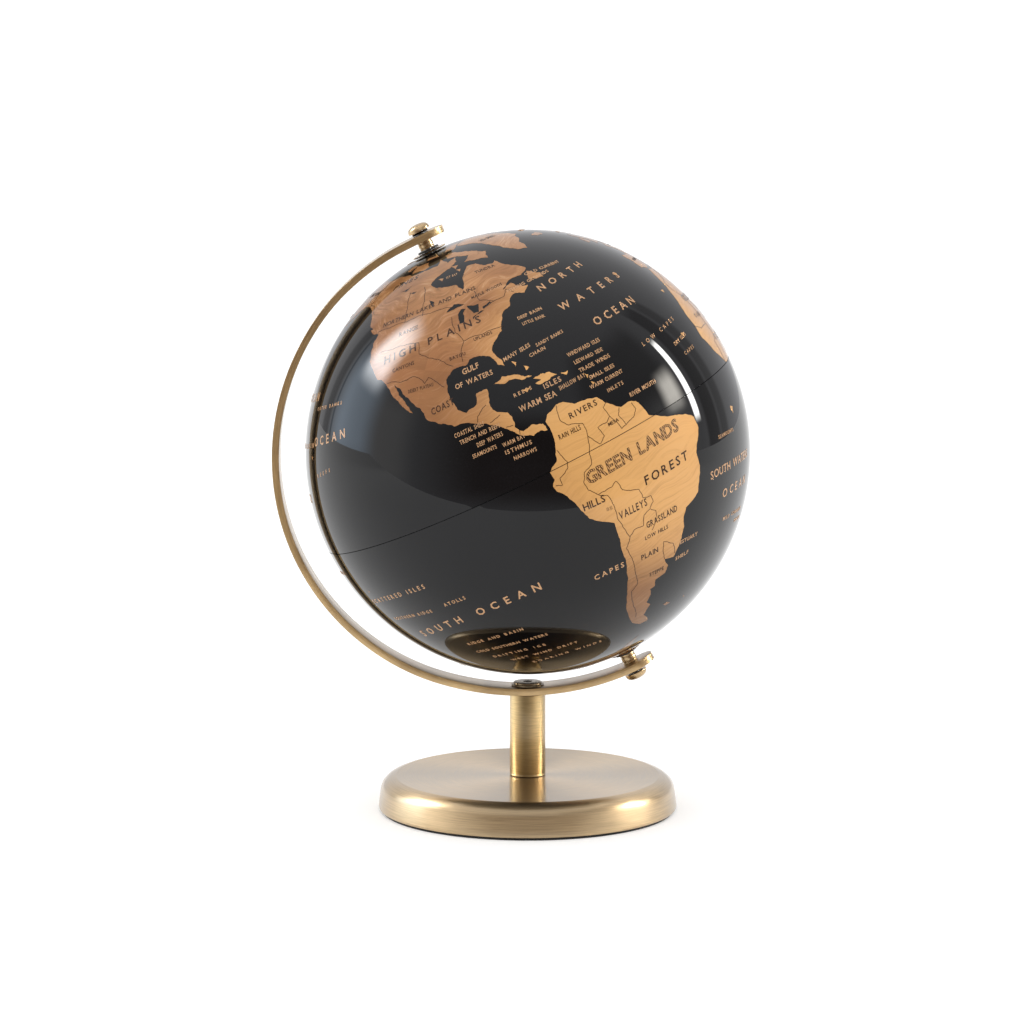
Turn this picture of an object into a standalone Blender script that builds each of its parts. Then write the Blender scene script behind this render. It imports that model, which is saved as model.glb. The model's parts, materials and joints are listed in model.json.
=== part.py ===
"""Desktop globe on a brass stand.

A plastic ball, 200 mm across, turns on two short axles that are clamped to a bent flat-bar
meridian arm. The arm is screwed to a tube post, and the post is bolted through a weighted
round base. World frame: origin at the centre of the underside, +Z up, the arm bends round
the ball in the XZ plane on the -X side. Lengths are in metres.
"""
import math

import bmesh
import bpy

MM = 0.001
GAP = 0.3 * MM                    # between pieces that touch, so their meshes stay apart

# Ball and its tilted axis
BALL_RADIUS = 100 * MM
BALL_WALL = 2 * MM
BALL_CENTRE_Z = 163.7 * MM
AXIS_TILT = math.radians(26)      # from vertical, the north pole leans towards -X
BALL_SEGMENTS = 40
BALL_RINGS = 9                    # from the equator to the pole hole, per half
POLE_HOLE_RADIUS = 4.2 * MM
EQUATOR_RING_WALL = 1.5 * MM
EQUATOR_RING_HEIGHT = 10 * MM

# Meridian arm: a flat bar bent on edge. Each station is (degrees round the ball's centre
# from +X towards +Z, distance of the bar's outer face from that centre).
ARM_STATIONS = (
    (108, 109.1 * MM),
    (118, 109.4 * MM),
    (128, 110.6 * MM),
    (142, 112.2 * MM),
    (160, 113.6 * MM),
    (180, 114.8 * MM),
    (200, 115.3 * MM),
    (220, 114.6 * MM),
    (240, 113.0 * MM),
    (256, 110.9 * MM),
    (270, 109.9 * MM),
    (286, 109.7 * MM),
    (304, 110.2 * MM),
)
ARM_STEPS = 5                     # bends between two stations
ARM_THICKNESS = 3.15 * MM
ARM_WIDTH = 17.5 * MM
ARM_PAST_AXIS = 10.5 * MM         # from the axis to the tip of each rounded end
ARM_REACH_NORTH = 109.3 * MM      # outer face of the bar where the axis crosses it
ARM_REACH_SOUTH = 110.0 * MM
ARM_REACH_POST = 109.9 * MM

# Pieces on the axis, as distances from the ball's centre
AXLE_RADIUS = 2 * MM
AXLE_FLANGE_RADIUS = 5 * MM
AXLE_FLANGE_THICKNESS = 1.2 * MM
BUSHING_FLANGE_RADIUS = 7.5 * MM
BUSHING_FLANGE_THICKNESS = 1.2 * MM
DISC_RADIUS = 8 * MM
DISC_THICKNESS = 0.6 * MM
WASHER_RADIUS = 5.0 * MM
WASHER_THICKNESS = 0.7 * MM
SPACER_RADIUS = 3.45 * MM
HEAD_WASHER_RADIUS = 3.75 * MM
HEAD_WASHER_THICKNESS = 0.9 * MM
NUT_RADIUS = 5.15 * MM
NUT_HEIGHT = 3.3 * MM
NUT_HOLE_DEPTH = 2.0 * MM
SMALL_SEGMENTS = 20

# Post
POST_RADIUS = 8.15 * MM
POST_WALL = 1.25 * MM
INSERT_LENGTH = 10 * MM
BOLT_RADIUS = 3 * MM
POST_SEGMENTS = 28

# Screw that holds the arm on the post
ARM_SCREW_RADIUS = 7.4 * MM
ARM_SCREW_TOP_RADIUS = 6.35 * MM
ARM_SCREW_RIM = 0.5 * MM
ARM_SCREW_HEIGHT = 1.5 * MM
ARM_SCREW_CLEARANCE = 0.5 * MM    # the bar is curved under the flat head
SOCKET_RADIUS = 2.3 * MM
SOCKET_DEPTH = 1.0 * MM

# Base
BASE_HEIGHT = 15.85 * MM
BASE_TOP_RADIUS = 60.1 * MM
BASE_WALL = 1.5 * MM
BASE_SIDE = (                     # rounded shoulder and slightly flared side: radius, height
    (62.9 * MM, 14.95 * MM),
    (65.1 * MM, 13.3 * MM),
    (66.4 * MM, 11.2 * MM),
    (67.1 * MM, 7.7 * MM),
    (67.75 * MM, 2.6 * MM),
    (67.5 * MM, 1.4 * MM),
)
BASE_SEGMENTS = 56
PAD_RADIUS = 66.3 * MM
PAD_THICKNESS = 1.1 * MM
WEIGHT_RADIUS = 61.0 * MM
WEIGHT_RIM_INNER_RADIUS = 50 * MM
WEIGHT_UNDERSIDE = 5 * MM
BOLT_HEAD_RADIUS = 6 * MM
BOLT_HEAD_HEIGHT = 3.2 * MM
BOLT_WASHER_RADIUS = 8 * MM
BOLT_WASHER_THICKNESS = 1.2 * MM
COUNTERBORE_RADIUS = 9 * MM
COUNTERBORE_TOP = 9 * MM

# Colour, roughness and metallic value of each finish
FINISHES = {
    "antique_brass": ((0.50, 0.34, 0.16), 0.32, 1.0),
    "brushed_brass": ((0.58, 0.42, 0.22), 0.28, 1.0),
    "bright_brass": ((0.66, 0.48, 0.24), 0.22, 1.0),
    "dark_steel": ((0.09, 0.08, 0.07), 0.40, 0.8),
    "zinc_steel": ((0.55, 0.56, 0.58), 0.35, 1.0),
    "cast_iron": ((0.10, 0.10, 0.11), 0.65, 0.6),
    "black_foam": ((0.02, 0.02, 0.02), 0.90, 0.0),
    "black_gloss": ((0.02, 0.02, 0.022), 0.10, 0.0),
    "grey_plastic": ((0.35, 0.35, 0.36), 0.50, 0.0),
    "black_nylon": ((0.03, 0.03, 0.03), 0.55, 0.0),
}


def clear_scene():
    for obj in list(bpy.data.objects):
        bpy.data.objects.remove(obj, do_unlink=True)


def new_collection(name):
    collection = bpy.data.collections.new(name)
    bpy.context.scene.collection.children.link(collection)
    return collection


def finish(name):
    """The material of that name, made once from its row in FINISHES."""
    found = bpy.data.materials.get(name)
    if found:
        return found
    colour, roughness, metallic = FINISHES[name]
    made = bpy.data.materials.new(name)
    made.use_nodes = True
    shader = made.node_tree.nodes["Principled BSDF"]
    shader.inputs["Base Color"].default_value = (*colour, 1.0)
    shader.inputs["Roughness"].default_value = roughness
    shader.inputs["Metallic"].default_value = metallic
    return made


def own_finish(obj, name):
    """Give a sub-part its own copy of a finish."""
    made = finish(name).copy()
    made.name = obj.name + "_" + name
    obj.data.materials.append(made)


def round_shading(mesh):
    mesh.shade_smooth()
    mesh.set_sharp_from_angle(angle=math.radians(35))


def realised(obj, collection):
    """Replace an object that has modifiers, or a curve, by its evaluated mesh."""
    depsgraph = bpy.context.evaluated_depsgraph_get()
    mesh = bpy.data.meshes.new_from_object(obj.evaluated_get(depsgraph))
    work = bmesh.new()
    work.from_mesh(mesh)
    bmesh.ops.remove_doubles(work, verts=work.verts, dist=0.00001)
    work.to_mesh(mesh)
    work.free()
    name = obj.name
    place = obj.matrix_world.copy()
    bpy.data.objects.remove(obj, do_unlink=True)
    made = bpy.data.objects.new(name, mesh)
    made.matrix_world = place
    collection.objects.link(made)
    return made


def turned(name, profile, segments, finish_name, parent=None, closed=True):
    """Turn a profile of (radius, height) points about Z. A closed profile makes a ring,
    an open one starts and ends on the axis. Its outer side runs from top to bottom."""
    count = len(profile)
    edges = [(i, i + 1) for i in range(count - 1)]
    if closed:
        edges.append((count - 1, 0))
    mesh = bpy.data.meshes.new(name)
    mesh.from_pydata([(radius, 0, height) for radius, height in profile], edges, [])
    obj = bpy.data.objects.new(name, mesh)
    PARTS.objects.link(obj)
    screw = obj.modifiers.new("turn", "SCREW")
    screw.axis = "Z"
    screw.angle = math.tau
    screw.steps = segments
    screw.render_steps = segments
    screw.use_merge_vertices = True
    screw.merge_threshold = 0.00001
    obj = realised(obj, PARTS)
    round_shading(obj.data)
    own_finish(obj, finish_name)
    obj.parent = parent
    return obj


def ring(inner, outer, low, high):
    """Closed profile of a plain ring."""
    return [(inner, high), (outer, high), (outer, low), (inner, low)]


def at_pole(profile, pole):
    """A profile drawn for the north pole, or the same one mirrored for the south."""
    if pole > 0:
        return list(profile)
    return [(radius, -height) for radius, height in reversed(profile)]


def arc(radius, start, end, steps):
    """Points on a circle round the origin, by angle above the equator in degrees."""
    points = []
    for i in range(steps + 1):
        angle = math.radians(start + (end - start) * i / steps)
        points.append((radius * math.cos(angle), radius * math.sin(angle)))
    return points


def empty(name, location, parent=None, tilt=0.0):
    obj = bpy.data.objects.new(name, None)
    obj.location = location
    obj.rotation_euler = (0, tilt, 0)
    obj.parent = parent
    PARTS.objects.link(obj)
    return obj


def cutter(obj):
    """Keep an object out of the model: it only cuts."""
    for collection in list(obj.users_collection):
        collection.objects.unlink(obj)
    CUTTERS.objects.link(obj)
    obj.hide_render = True
    obj.display_type = "WIRE"
    return obj


def drill(name, radius, length, location=(0, 0, 0), parent=None, vertices=SMALL_SEGMENTS):
    bpy.ops.mesh.primitive_cylinder_add(
        vertices=vertices, radius=radius, depth=length, location=location)
    obj = bpy.context.object
    obj.name = name
    obj.parent = parent
    return cutter(obj)


def cut(obj, tool):
    modifier = obj.modifiers.new("cut_" + tool.name, "BOOLEAN")
    modifier.operation = "DIFFERENCE"
    modifier.object = tool


def smooth_reach(stations, index, part):
    """Catmull-Rom value between station index and the next one, at part from 0 to 1."""
    last = len(stations) - 1
    before, here, there, after = (
        stations[min(max(index + step, 0), last)][1] for step in (-1, 0, 1, 2))
    return 0.5 * (2 * here + (there - before) * part
                  + (2 * before - 5 * here + 4 * there - after) * part ** 2
                  + (3 * here - before - 3 * there + after) * part ** 3)


def arm_curve():
    """(angle, reach) all the way along the bar's outer face."""
    points = []
    for index in range(len(ARM_STATIONS) - 1):
        start = ARM_STATIONS[index][0]
        end = ARM_STATIONS[index + 1][0]
        for step in range(ARM_STEPS):
            part = step / ARM_STEPS
            angle = math.radians(start + (end - start) * part)
            points.append((angle, smooth_reach(ARM_STATIONS, index, part)))
    last_angle, last_reach = ARM_STATIONS[-1]
    points.append((math.radians(last_angle), last_reach))
    return points


def outline_object(name, points, half_depth):
    """A flat closed outline in its own XY plane, extruded both ways, as a mesh."""
    curve = bpy.data.curves.new(name, "CURVE")
    curve.dimensions = "2D"
    curve.fill_mode = "BOTH"
    curve.extrude = half_depth
    spline = curve.splines.new("POLY")
    spline.points.add(len(points) - 1)
    for point, (x, y) in zip(spline.points, points):
        point.co = (x, y, 0, 1)
    spline.use_cyclic_u = True
    obj = bpy.data.objects.new(name, curve)
    PARTS.objects.link(obj)
    bpy.context.view_layer.update()
    return realised(obj, PARTS)


def make_end_trimmer(parent):
    """Rounds both ends of the bar: everything past a half circle, seen along the axis."""
    half = ARM_WIDTH / 2
    centre = ARM_PAST_AXIS - half
    far = ARM_PAST_AXIS + 12 * MM
    wide = half + 4 * MM
    points = [(centre + x, y) for x, y in arc(half, 88, -88, 16)]
    points += [(centre, -wide), (far, -wide), (far, wide), (centre, wide)]
    obj = outline_object("end_trimmer", points, 1.3 * BALL_RADIUS)
    obj.parent = parent
    return cutter(obj)


def make_arm(axis):
    outer = [(reach * math.cos(a), reach * math.sin(a)) for a, reach in arm_curve()]
    inner = [((reach - ARM_THICKNESS) * math.cos(a), (reach - ARM_THICKNESS) * math.sin(a))
             for a, reach in arm_curve()]
    obj = outline_object("meridian_arm", outer + inner[::-1], ARM_WIDTH / 2)
    obj.location = (0, 0, BALL_CENTRE_Z)
    obj.rotation_euler = (math.radians(90), 0, 0)
    own_finish(obj, "antique_brass")
    cut(obj, make_end_trimmer(axis))
    cut(obj, drill("axis_drill", AXLE_RADIUS + GAP, 2.6 * BALL_RADIUS, parent=axis))
    cut(obj, drill("post_drill", BOLT_RADIUS + GAP, 16 * MM, (0, 0, arm_underside())))


def arm_underside():
    return BALL_CENTRE_Z - ARM_REACH_POST


def make_half_shell(name, pole, parent):
    """Half of the ball, open at the equator and at the pole hole."""
    inner_radius = BALL_RADIUS - BALL_WALL
    rim = math.degrees(math.asin(GAP / 2 / BALL_RADIUS))
    inner_rim = math.degrees(math.asin(GAP / 2 / inner_radius))
    hole = math.degrees(math.acos(POLE_HOLE_RADIUS / BALL_RADIUS))
    inner_hole = math.degrees(math.acos(POLE_HOLE_RADIUS / inner_radius))
    profile = arc(BALL_RADIUS, hole, rim, BALL_RINGS)
    profile += arc(inner_radius, inner_rim, inner_hole, BALL_RINGS)
    turned(name, at_pole(profile, pole), BALL_SEGMENTS, "black_gloss", parent)


def make_equator_ring(parent):
    """Band inside the ball that the two halves are glued to."""
    outer = BALL_RADIUS - BALL_WALL - 2 * GAP
    half = EQUATOR_RING_HEIGHT / 2
    profile = ring(outer - EQUATOR_RING_WALL, outer, -half, half)
    turned("equator_ring", profile, BALL_SEGMENTS, "grey_plastic", parent)


def flange_top():
    """Height of the bushing flange, just under the shell's inner face."""
    inner_radius = BALL_RADIUS - BALL_WALL
    return math.sqrt(inner_radius ** 2 - BUSHING_FLANGE_RADIUS ** 2) - 2 * GAP


def make_bushing(name, pole, parent):
    """Flanged plastic bushing that the ball turns on, glued in the pole hole."""
    bore = AXLE_RADIUS + GAP
    boss = POLE_HOLE_RADIUS - GAP
    top = flange_top()
    profile = [
        (bore, BALL_RADIUS - GAP),
        (boss, BALL_RADIUS - GAP),
        (boss, top),
        (BUSHING_FLANGE_RADIUS, top),
        (BUSHING_FLANGE_RADIUS, top - BUSHING_FLANGE_THICKNESS),
        (bore, top - BUSHING_FLANGE_THICKNESS),
    ]
    turned(name, at_pole(profile, pole), SMALL_SEGMENTS, "black_nylon", parent)


def make_pole_disc(name, pole, parent):
    """Thin brass disc that covers the pole hole and turns with the ball."""
    low = BALL_RADIUS + GAP
    profile = ring(AXLE_RADIUS + GAP, DISC_RADIUS, low, low + DISC_THICKNESS)
    turned(name, at_pole(profile, pole), SMALL_SEGMENTS, "antique_brass", parent)


def make_axle(name, pole, arm_reach, parent):
    """Headed stud: its head is inside the ball, its shank runs out through the bar."""
    head_top = flange_top() - BUSHING_FLANGE_THICKNESS - GAP
    tip = nut_seat(arm_reach) + NUT_HOLE_DEPTH - GAP
    profile = [
        (0, tip),
        (AXLE_RADIUS, tip),
        (AXLE_RADIUS, head_top),
        (AXLE_FLANGE_RADIUS, head_top),
        (AXLE_FLANGE_RADIUS, head_top - AXLE_FLANGE_THICKNESS),
        (0, head_top - AXLE_FLANGE_THICKNESS),
    ]
    turned(name, at_pole(profile, pole), SMALL_SEGMENTS, "zinc_steel", parent, closed=False)


def spacer_low():
    return BALL_RADIUS + DISC_THICKNESS + WASHER_THICKNESS + 3 * GAP


def make_washer(name, pole, parent):
    """Black nylon washer between the turning disc and the fixed spacer."""
    low = BALL_RADIUS + DISC_THICKNESS + 2 * GAP
    profile = ring(AXLE_RADIUS + GAP, WASHER_RADIUS, low, low + WASHER_THICKNESS)
    turned(name, at_pole(profile, pole), SMALL_SEGMENTS, "black_nylon", parent)


def make_spacer(name, pole, arm_reach, parent):
    """Brass tube that keeps the ball off the bar."""
    high = arm_reach - ARM_THICKNESS - GAP
    profile = ring(AXLE_RADIUS + GAP, SPACER_RADIUS, spacer_low(), high)
    turned(name, at_pole(profile, pole), SMALL_SEGMENTS, "bright_brass", parent)


def make_head_washer(name, pole, arm_reach, parent):
    low = arm_reach + GAP
    profile = ring(AXLE_RADIUS + GAP, HEAD_WASHER_RADIUS, low, low + HEAD_WASHER_THICKNESS)
    turned(name, at_pole(profile, pole), SMALL_SEGMENTS, "dark_steel", parent)


def nut_seat(arm_reach):
    return arm_reach + HEAD_WASHER_THICKNESS + 2 * GAP


def make_dome_nut(name, pole, arm_reach, parent):
    """Low domed nut with a blind hole."""
    seat = nut_seat(arm_reach)
    dome_radius = (NUT_RADIUS ** 2 + NUT_HEIGHT ** 2) / (2 * NUT_HEIGHT)
    centre = seat + NUT_HEIGHT - dome_radius
    edge = math.degrees(math.acos(NUT_RADIUS / dome_radius))
    edge = math.copysign(edge, dome_radius - NUT_HEIGHT)
    dome = [(radius, centre + height) for radius, height in arc(dome_radius, 90, edge, 6)]
    dome[0] = (0, seat + NUT_HEIGHT)
    hole = AXLE_RADIUS + GAP
    profile = dome + [(hole, seat), (hole, seat + NUT_HOLE_DEPTH), (0, seat + NUT_HOLE_DEPTH)]
    turned(name, at_pole(profile, pole), SMALL_SEGMENTS, "antique_brass", parent, closed=False)


def make_post():
    low = BASE_HEIGHT + GAP
    high = arm_underside() - GAP
    inner = POST_RADIUS - POST_WALL
    turned("post_tube", ring(inner, POST_RADIUS, low, high), POST_SEGMENTS, "brushed_brass")
    insert = ring(BOLT_RADIUS + GAP, inner - GAP, low, low + INSERT_LENGTH)
    turned("post_lower_insert", insert, SMALL_SEGMENTS, "zinc_steel")
    insert = ring(BOLT_RADIUS + GAP, inner - GAP, high - INSERT_LENGTH, high)
    turned("post_upper_insert", insert, SMALL_SEGMENTS, "zinc_steel")


def make_arm_screw():
    """Low pan-head screw with a hexagon socket, down through the bar into the post."""
    seat = arm_underside() + ARM_THICKNESS + ARM_SCREW_CLEARANCE
    top = seat + ARM_SCREW_HEIGHT
    tip = arm_underside() - INSERT_LENGTH + 2 * MM
    profile = [
        (0, top),
        (ARM_SCREW_TOP_RADIUS, top),
        (ARM_SCREW_RADIUS, seat + ARM_SCREW_RIM),
        (ARM_SCREW_RADIUS, seat),
        (BOLT_RADIUS, seat),
        (BOLT_RADIUS, tip),
        (0, tip),
    ]
    obj = turned("arm_screw", profile, POST_SEGMENTS, "dark_steel", closed=False)
    cut(obj, drill("arm_socket", SOCKET_RADIUS, 2 * SOCKET_DEPTH, (0, 0, top), vertices=6))


def make_base_shell():
    """Spun brass cap: flat top, rounded shoulder, slightly flared side, open underneath."""
    inner_side = [(BASE_TOP_RADIUS, BASE_HEIGHT - BASE_WALL)]
    inner_side += [(radius - BASE_WALL, height - BASE_WALL) for radius, height in BASE_SIDE[1:3]]
    inner_side.append((BASE_SIDE[-1][0] - BASE_WALL, BASE_SIDE[-1][1]))
    profile = [(BOLT_RADIUS + GAP, BASE_HEIGHT), (BASE_TOP_RADIUS, BASE_HEIGHT)]
    profile += BASE_SIDE
    profile += inner_side[::-1]
    profile += [(BOLT_RADIUS + GAP, BASE_HEIGHT - BASE_WALL)]
    turned("base_shell", profile, BASE_SEGMENTS, "brushed_brass")


def make_base_weight():
    """Cast disc under the cap, thinner inside its rim, with a counterbore for the bolt."""
    top = BASE_HEIGHT - BASE_WALL - GAP
    rim_low = PAD_THICKNESS + GAP
    shoulder = WEIGHT_RADIUS - 3 * MM
    profile = [
        (BOLT_RADIUS + GAP, top),
        (shoulder, top),
        (WEIGHT_RADIUS, top - 3 * MM),
        (WEIGHT_RADIUS, rim_low),
        (WEIGHT_RIM_INNER_RADIUS, rim_low),
        (WEIGHT_RIM_INNER_RADIUS, WEIGHT_UNDERSIDE),
        (COUNTERBORE_RADIUS, WEIGHT_UNDERSIDE),
        (COUNTERBORE_RADIUS, COUNTERBORE_TOP),
        (BOLT_RADIUS + GAP, COUNTERBORE_TOP),
    ]
    turned("base_weight", profile, BALL_SEGMENTS, "cast_iron")


def make_base_pad():
    """Solid black foam disc that the globe stands on."""
    profile = [
        (0, PAD_THICKNESS),
        (PAD_RADIUS, PAD_THICKNESS),
        (PAD_RADIUS, 0),
        (0, 0),
    ]
    turned("base_pad", profile, BASE_SEGMENTS, "black_foam", closed=False)


def make_base_bolt():
    """Bolt up through weight and cap into the post, with its washer."""
    washer_top = COUNTERBORE_TOP - GAP
    washer = ring(BOLT_RADIUS + GAP, BOLT_WASHER_RADIUS,
                  washer_top - BOLT_WASHER_THICKNESS, washer_top)
    turned("base_bolt_washer", washer, SMALL_SEGMENTS, "zinc_steel")
    seat = washer_top - BOLT_WASHER_THICKNESS - GAP
    low = seat - BOLT_HEAD_HEIGHT
    tip = BASE_HEIGHT + INSERT_LENGTH - 1.5 * MM
    profile = [
        (0, tip),
        (BOLT_RADIUS, tip),
        (BOLT_RADIUS, seat),
        (BOLT_HEAD_RADIUS, seat),
        (BOLT_HEAD_RADIUS, low),
        (0, low),
    ]
    obj = turned("base_bolt", profile, SMALL_SEGMENTS, "zinc_steel", closed=False)
    cut(obj, drill("bolt_socket", SOCKET_RADIUS, 3 * SOCKET_DEPTH, (0, 0, low), vertices=6))


def make_pole(name, pole, arm_reach, fixed, turning):
    """Everything on the axis at one pole: pieces of the stand, then pieces of the ball."""
    make_axle(name + "_axle", pole, arm_reach, fixed)
    make_washer(name + "_washer", pole, fixed)
    make_spacer(name + "_spacer", pole, arm_reach, fixed)
    make_head_washer(name + "_head_washer", pole, arm_reach, fixed)
    make_dome_nut(name + "_dome_nut", pole, arm_reach, fixed)
    make_half_shell(name + "_shell", pole, turning)
    make_bushing(name + "_bushing", pole, turning)
    make_pole_disc(name + "_pole_disc", pole, turning)


clear_scene()
PARTS = new_collection("desktop_globe")
CUTTERS = new_collection("cutters")
polar_axis = empty("polar_axis", (0, 0, BALL_CENTRE_Z), tilt=-AXIS_TILT)
ball_pivot = empty("ball_pivot", (0, 0, 0), polar_axis)
make_base_pad()
make_base_shell()
make_base_weight()
make_base_bolt()
make_post()
make_arm(polar_axis)
make_arm_screw()
make_pole("north", 1, ARM_REACH_NORTH, polar_axis, ball_pivot)
make_pole("south", -1, ARM_REACH_SOUTH, polar_axis, ball_pivot)
make_equator_ring(ball_pivot)
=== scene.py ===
"""Looks of the desktop globe: brushed brass stand, glossy black ball, copper map and lettering."""
import json
import math
import random

import bmesh
import bpy
import numpy as np
from mathutils import Matrix, Vector, geometry


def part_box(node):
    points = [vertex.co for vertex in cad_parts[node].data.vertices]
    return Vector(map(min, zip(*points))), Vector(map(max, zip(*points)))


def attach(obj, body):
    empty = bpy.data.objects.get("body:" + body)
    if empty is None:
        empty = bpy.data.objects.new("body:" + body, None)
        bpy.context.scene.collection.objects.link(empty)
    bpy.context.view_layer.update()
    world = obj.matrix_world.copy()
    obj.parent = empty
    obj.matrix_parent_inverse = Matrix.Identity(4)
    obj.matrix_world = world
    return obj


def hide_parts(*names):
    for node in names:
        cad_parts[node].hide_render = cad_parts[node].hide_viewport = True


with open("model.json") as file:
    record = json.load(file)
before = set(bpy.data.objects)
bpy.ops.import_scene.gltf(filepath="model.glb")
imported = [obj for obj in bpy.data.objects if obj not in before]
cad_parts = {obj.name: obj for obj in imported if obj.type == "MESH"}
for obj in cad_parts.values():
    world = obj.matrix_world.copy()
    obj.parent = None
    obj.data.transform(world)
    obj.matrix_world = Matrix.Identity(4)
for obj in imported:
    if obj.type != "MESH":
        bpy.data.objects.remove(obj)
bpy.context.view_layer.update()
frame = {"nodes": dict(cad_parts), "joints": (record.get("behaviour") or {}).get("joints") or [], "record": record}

MM = 0.001
RECORD = frame["record"]
STUDIO = bpy.context.scene.collection

# ------------------------------------------------------------ places, read from the frame
SPIN = frame["joints"][0]
CENTRE = Vector(SPIN["pos_m"])
AXIS = Vector(SPIN["axis"]).normalized()
TILT = math.atan2(-AXIS.x, AXIS.z)
AXIS_FRAME = Matrix.Translation(CENTRE) @ Matrix.Rotation(-TILT, 4, "Y")
UPRIGHT = AXIS_FRAME.inverted()


def along_axis(node):
    """Lowest and highest place of a CAD node along the ball's axis, from the ball's centre."""
    heights = [(UPRIGHT @ v.co).z for v in frame["nodes"][node].data.vertices]
    return min(heights), max(heights)


def axis_radius(node):
    """Largest distance of a CAD node from the ball's axis."""
    return max((UPRIGHT @ v.co).to_2d().length for v in frame["nodes"][node].data.vertices)


def outer_rings(node, narrowest):
    """Radius and height of the rings round the outside of an upright turned CAD node."""
    widest = {}
    for vertex in frame["nodes"][node].data.vertices:
        height = round(vertex.co.z, 5)
        widest[height] = max(widest.get(height, 0), vertex.co.to_2d().length)
    rings = []
    for height, radius in sorted(widest.items(), reverse=True):
        if radius > max(narrowest, max(rings)[0] - 1 * MM if rings else 0):
            rings.append((radius, height))
    return rings


BALL_RADIUS = axis_radius("north_shell")
PAD_LOW, PAD_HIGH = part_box("base_pad")
POST_LOW, POST_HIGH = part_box("post_tube")
ARM_HALF_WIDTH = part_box("meridian_arm")[1].y
SCREW_LOW, SCREW_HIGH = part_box("arm_screw")


# ------------------------------------------------------------ shader shorthand
MATERIALS = {}


def new_material(name):
    """Node tree and shader of a new material, which MATERIALS keeps by its name."""
    material = bpy.data.materials.new(name)
    material.use_nodes = True
    MATERIALS[name] = material
    return material.node_tree, material.node_tree.nodes["Principled BSDF"]


def put(tree, socket, value):
    """Link an output to a socket, or set the socket's own value."""
    if isinstance(value, bpy.types.NodeSocket):
        tree.links.new(value, socket)
    else:
        socket.default_value = value


def add(tree, kind, inputs, output=0, **settings):
    """Add a node with these settings and inputs, and give back one of its outputs."""
    made = tree.nodes.new(kind)
    for key, value in settings.items():
        setattr(made, key, value)
    for key, value in inputs.items():
        put(tree, made.inputs[key], value)
    return made.outputs[output]


def maths(tree, operation, a, b=0.0):
    return add(tree, "ShaderNodeMath", {0: a, 1: b}, operation=operation)


def times(tree, a, b):
    return maths(tree, "MULTIPLY", a, b)


def vector_maths(tree, operation, a, b, output=0):
    return add(tree, "ShaderNodeVectorMath", {0: a, 1: b}, output, operation=operation)


def vector_of(tree, x, y, z):
    return add(tree, "ShaderNodeCombineXYZ", {0: x, 1: y, 2: z})


def split(tree, vector):
    made = tree.nodes.new("ShaderNodeSeparateXYZ")
    tree.links.new(vector, made.inputs[0])
    return made.outputs


def noise(tree, vector, scale, detail=3.0, roughness=0.55):
    inputs = {"Vector": vector, "Scale": scale, "Detail": detail, "Roughness": roughness}
    return add(tree, "ShaderNodeTexNoise", inputs)


def remap(tree, value, low, high, to_low, to_high, ease="LINEAR"):
    inputs = {0: value, 1: low, 2: high, 3: to_low, 4: to_high}
    return add(tree, "ShaderNodeMapRange", inputs, interpolation_type=ease)


def blend(tree, factor, a, b, mode="MIX"):
    made = tree.nodes.new("ShaderNodeMix")
    made.data_type = "RGBA"
    made.blend_type = mode
    put(tree, made.inputs[0], factor)
    put(tree, made.inputs[6], (*a, 1) if isinstance(a, tuple) else a)
    put(tree, made.inputs[7], (*b, 1) if isinstance(b, tuple) else b)
    return made.outputs[2]


def shade(tree, colour, amount):
    """The colour made lighter or darker by a grey amount."""
    return blend(tree, 1.0, colour, vector_of(tree, amount, amount, amount), "MULTIPLY")


def position(tree):
    """Place on the piece, in metres."""
    return add(tree, "ShaderNodeTexCoord", {}, 3)


def bump(tree, height, strength, distance):
    inputs = {"Strength": strength, "Distance": distance, "Height": height}
    return add(tree, "ShaderNodeBump", inputs)


def surface(tree, shader, **looks):
    """Set the shader's inputs by name: a colour, a roughness, a normal or a plain value."""
    for name, value in looks.items():
        put(tree, shader.inputs[name.replace("_", " ")], value)


# ------------------------------------------------------------ materials
def polar(tree, across, along):
    """Radius and angle of two coordinates."""
    squares = maths(tree, "ADD", times(tree, across, across), times(tree, along, along))
    return maths(tree, "SQRT", squares), maths(tree, "ARCTAN2", along, across)


def streaks(tree, radius, angle, beside, turns):
    """Coordinates whose streaks run round with the angle, longer with fewer turns."""
    return vector_of(tree, times(tree, radius, 1000.0), times(tree, beside, 1000.0),
                     times(tree, angle, turns))


def turned_grain(tree, turns=1.6):
    """Streaks round the piece's own Z axis."""
    x, y, z = split(tree, position(tree))
    return streaks(tree, *polar(tree, x, y), z, turns)


def fine_rings(tree):
    """Long turned streaks, for a narrow tube."""
    return turned_grain(tree, 0.4)


def bar_grain(tree):
    """Streaks along the bent bar."""
    x, y, z = split(tree, position(tree))
    return streaks(tree, *polar(tree, x, maths(tree, "SUBTRACT", z, CENTRE.z)), y, 5.0)


def anisotropy_and_painted_bands(tree, shader, colour, painted_highlight_at, contrast):
    """Highlights drawn out across the brushing, and painted reflection: four soft lighter and darker stripes round
    the axis, painted into the colour.
    """
    tangent = add(tree, "ShaderNodeTangent", {}, direction_type="RADIAL", axis="Z")
    surface(tree, shader, Tangent=tangent, Anisotropic=0.6, Anisotropic_Rotation=0.25)
    x, y, z = split(tree, position(tree))
    # Painted reflection: the colour is lighter and darker in four stripes round the axis, brightest at the given
    # angle.
    from_painted_highlight = maths(tree, "SUBTRACT", polar(tree, x, y)[1], math.radians(painted_highlight_at))
    wave = maths(tree, "COSINE", times(tree, from_painted_highlight, 4.0))
    return shade(tree, colour, remap(tree, wave, -1.0, 1.0, 1.0 - contrast, 1.0 + contrast / 2))


BROWN = (0.20, 0.115, 0.045)      # the patina on the brass


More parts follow.
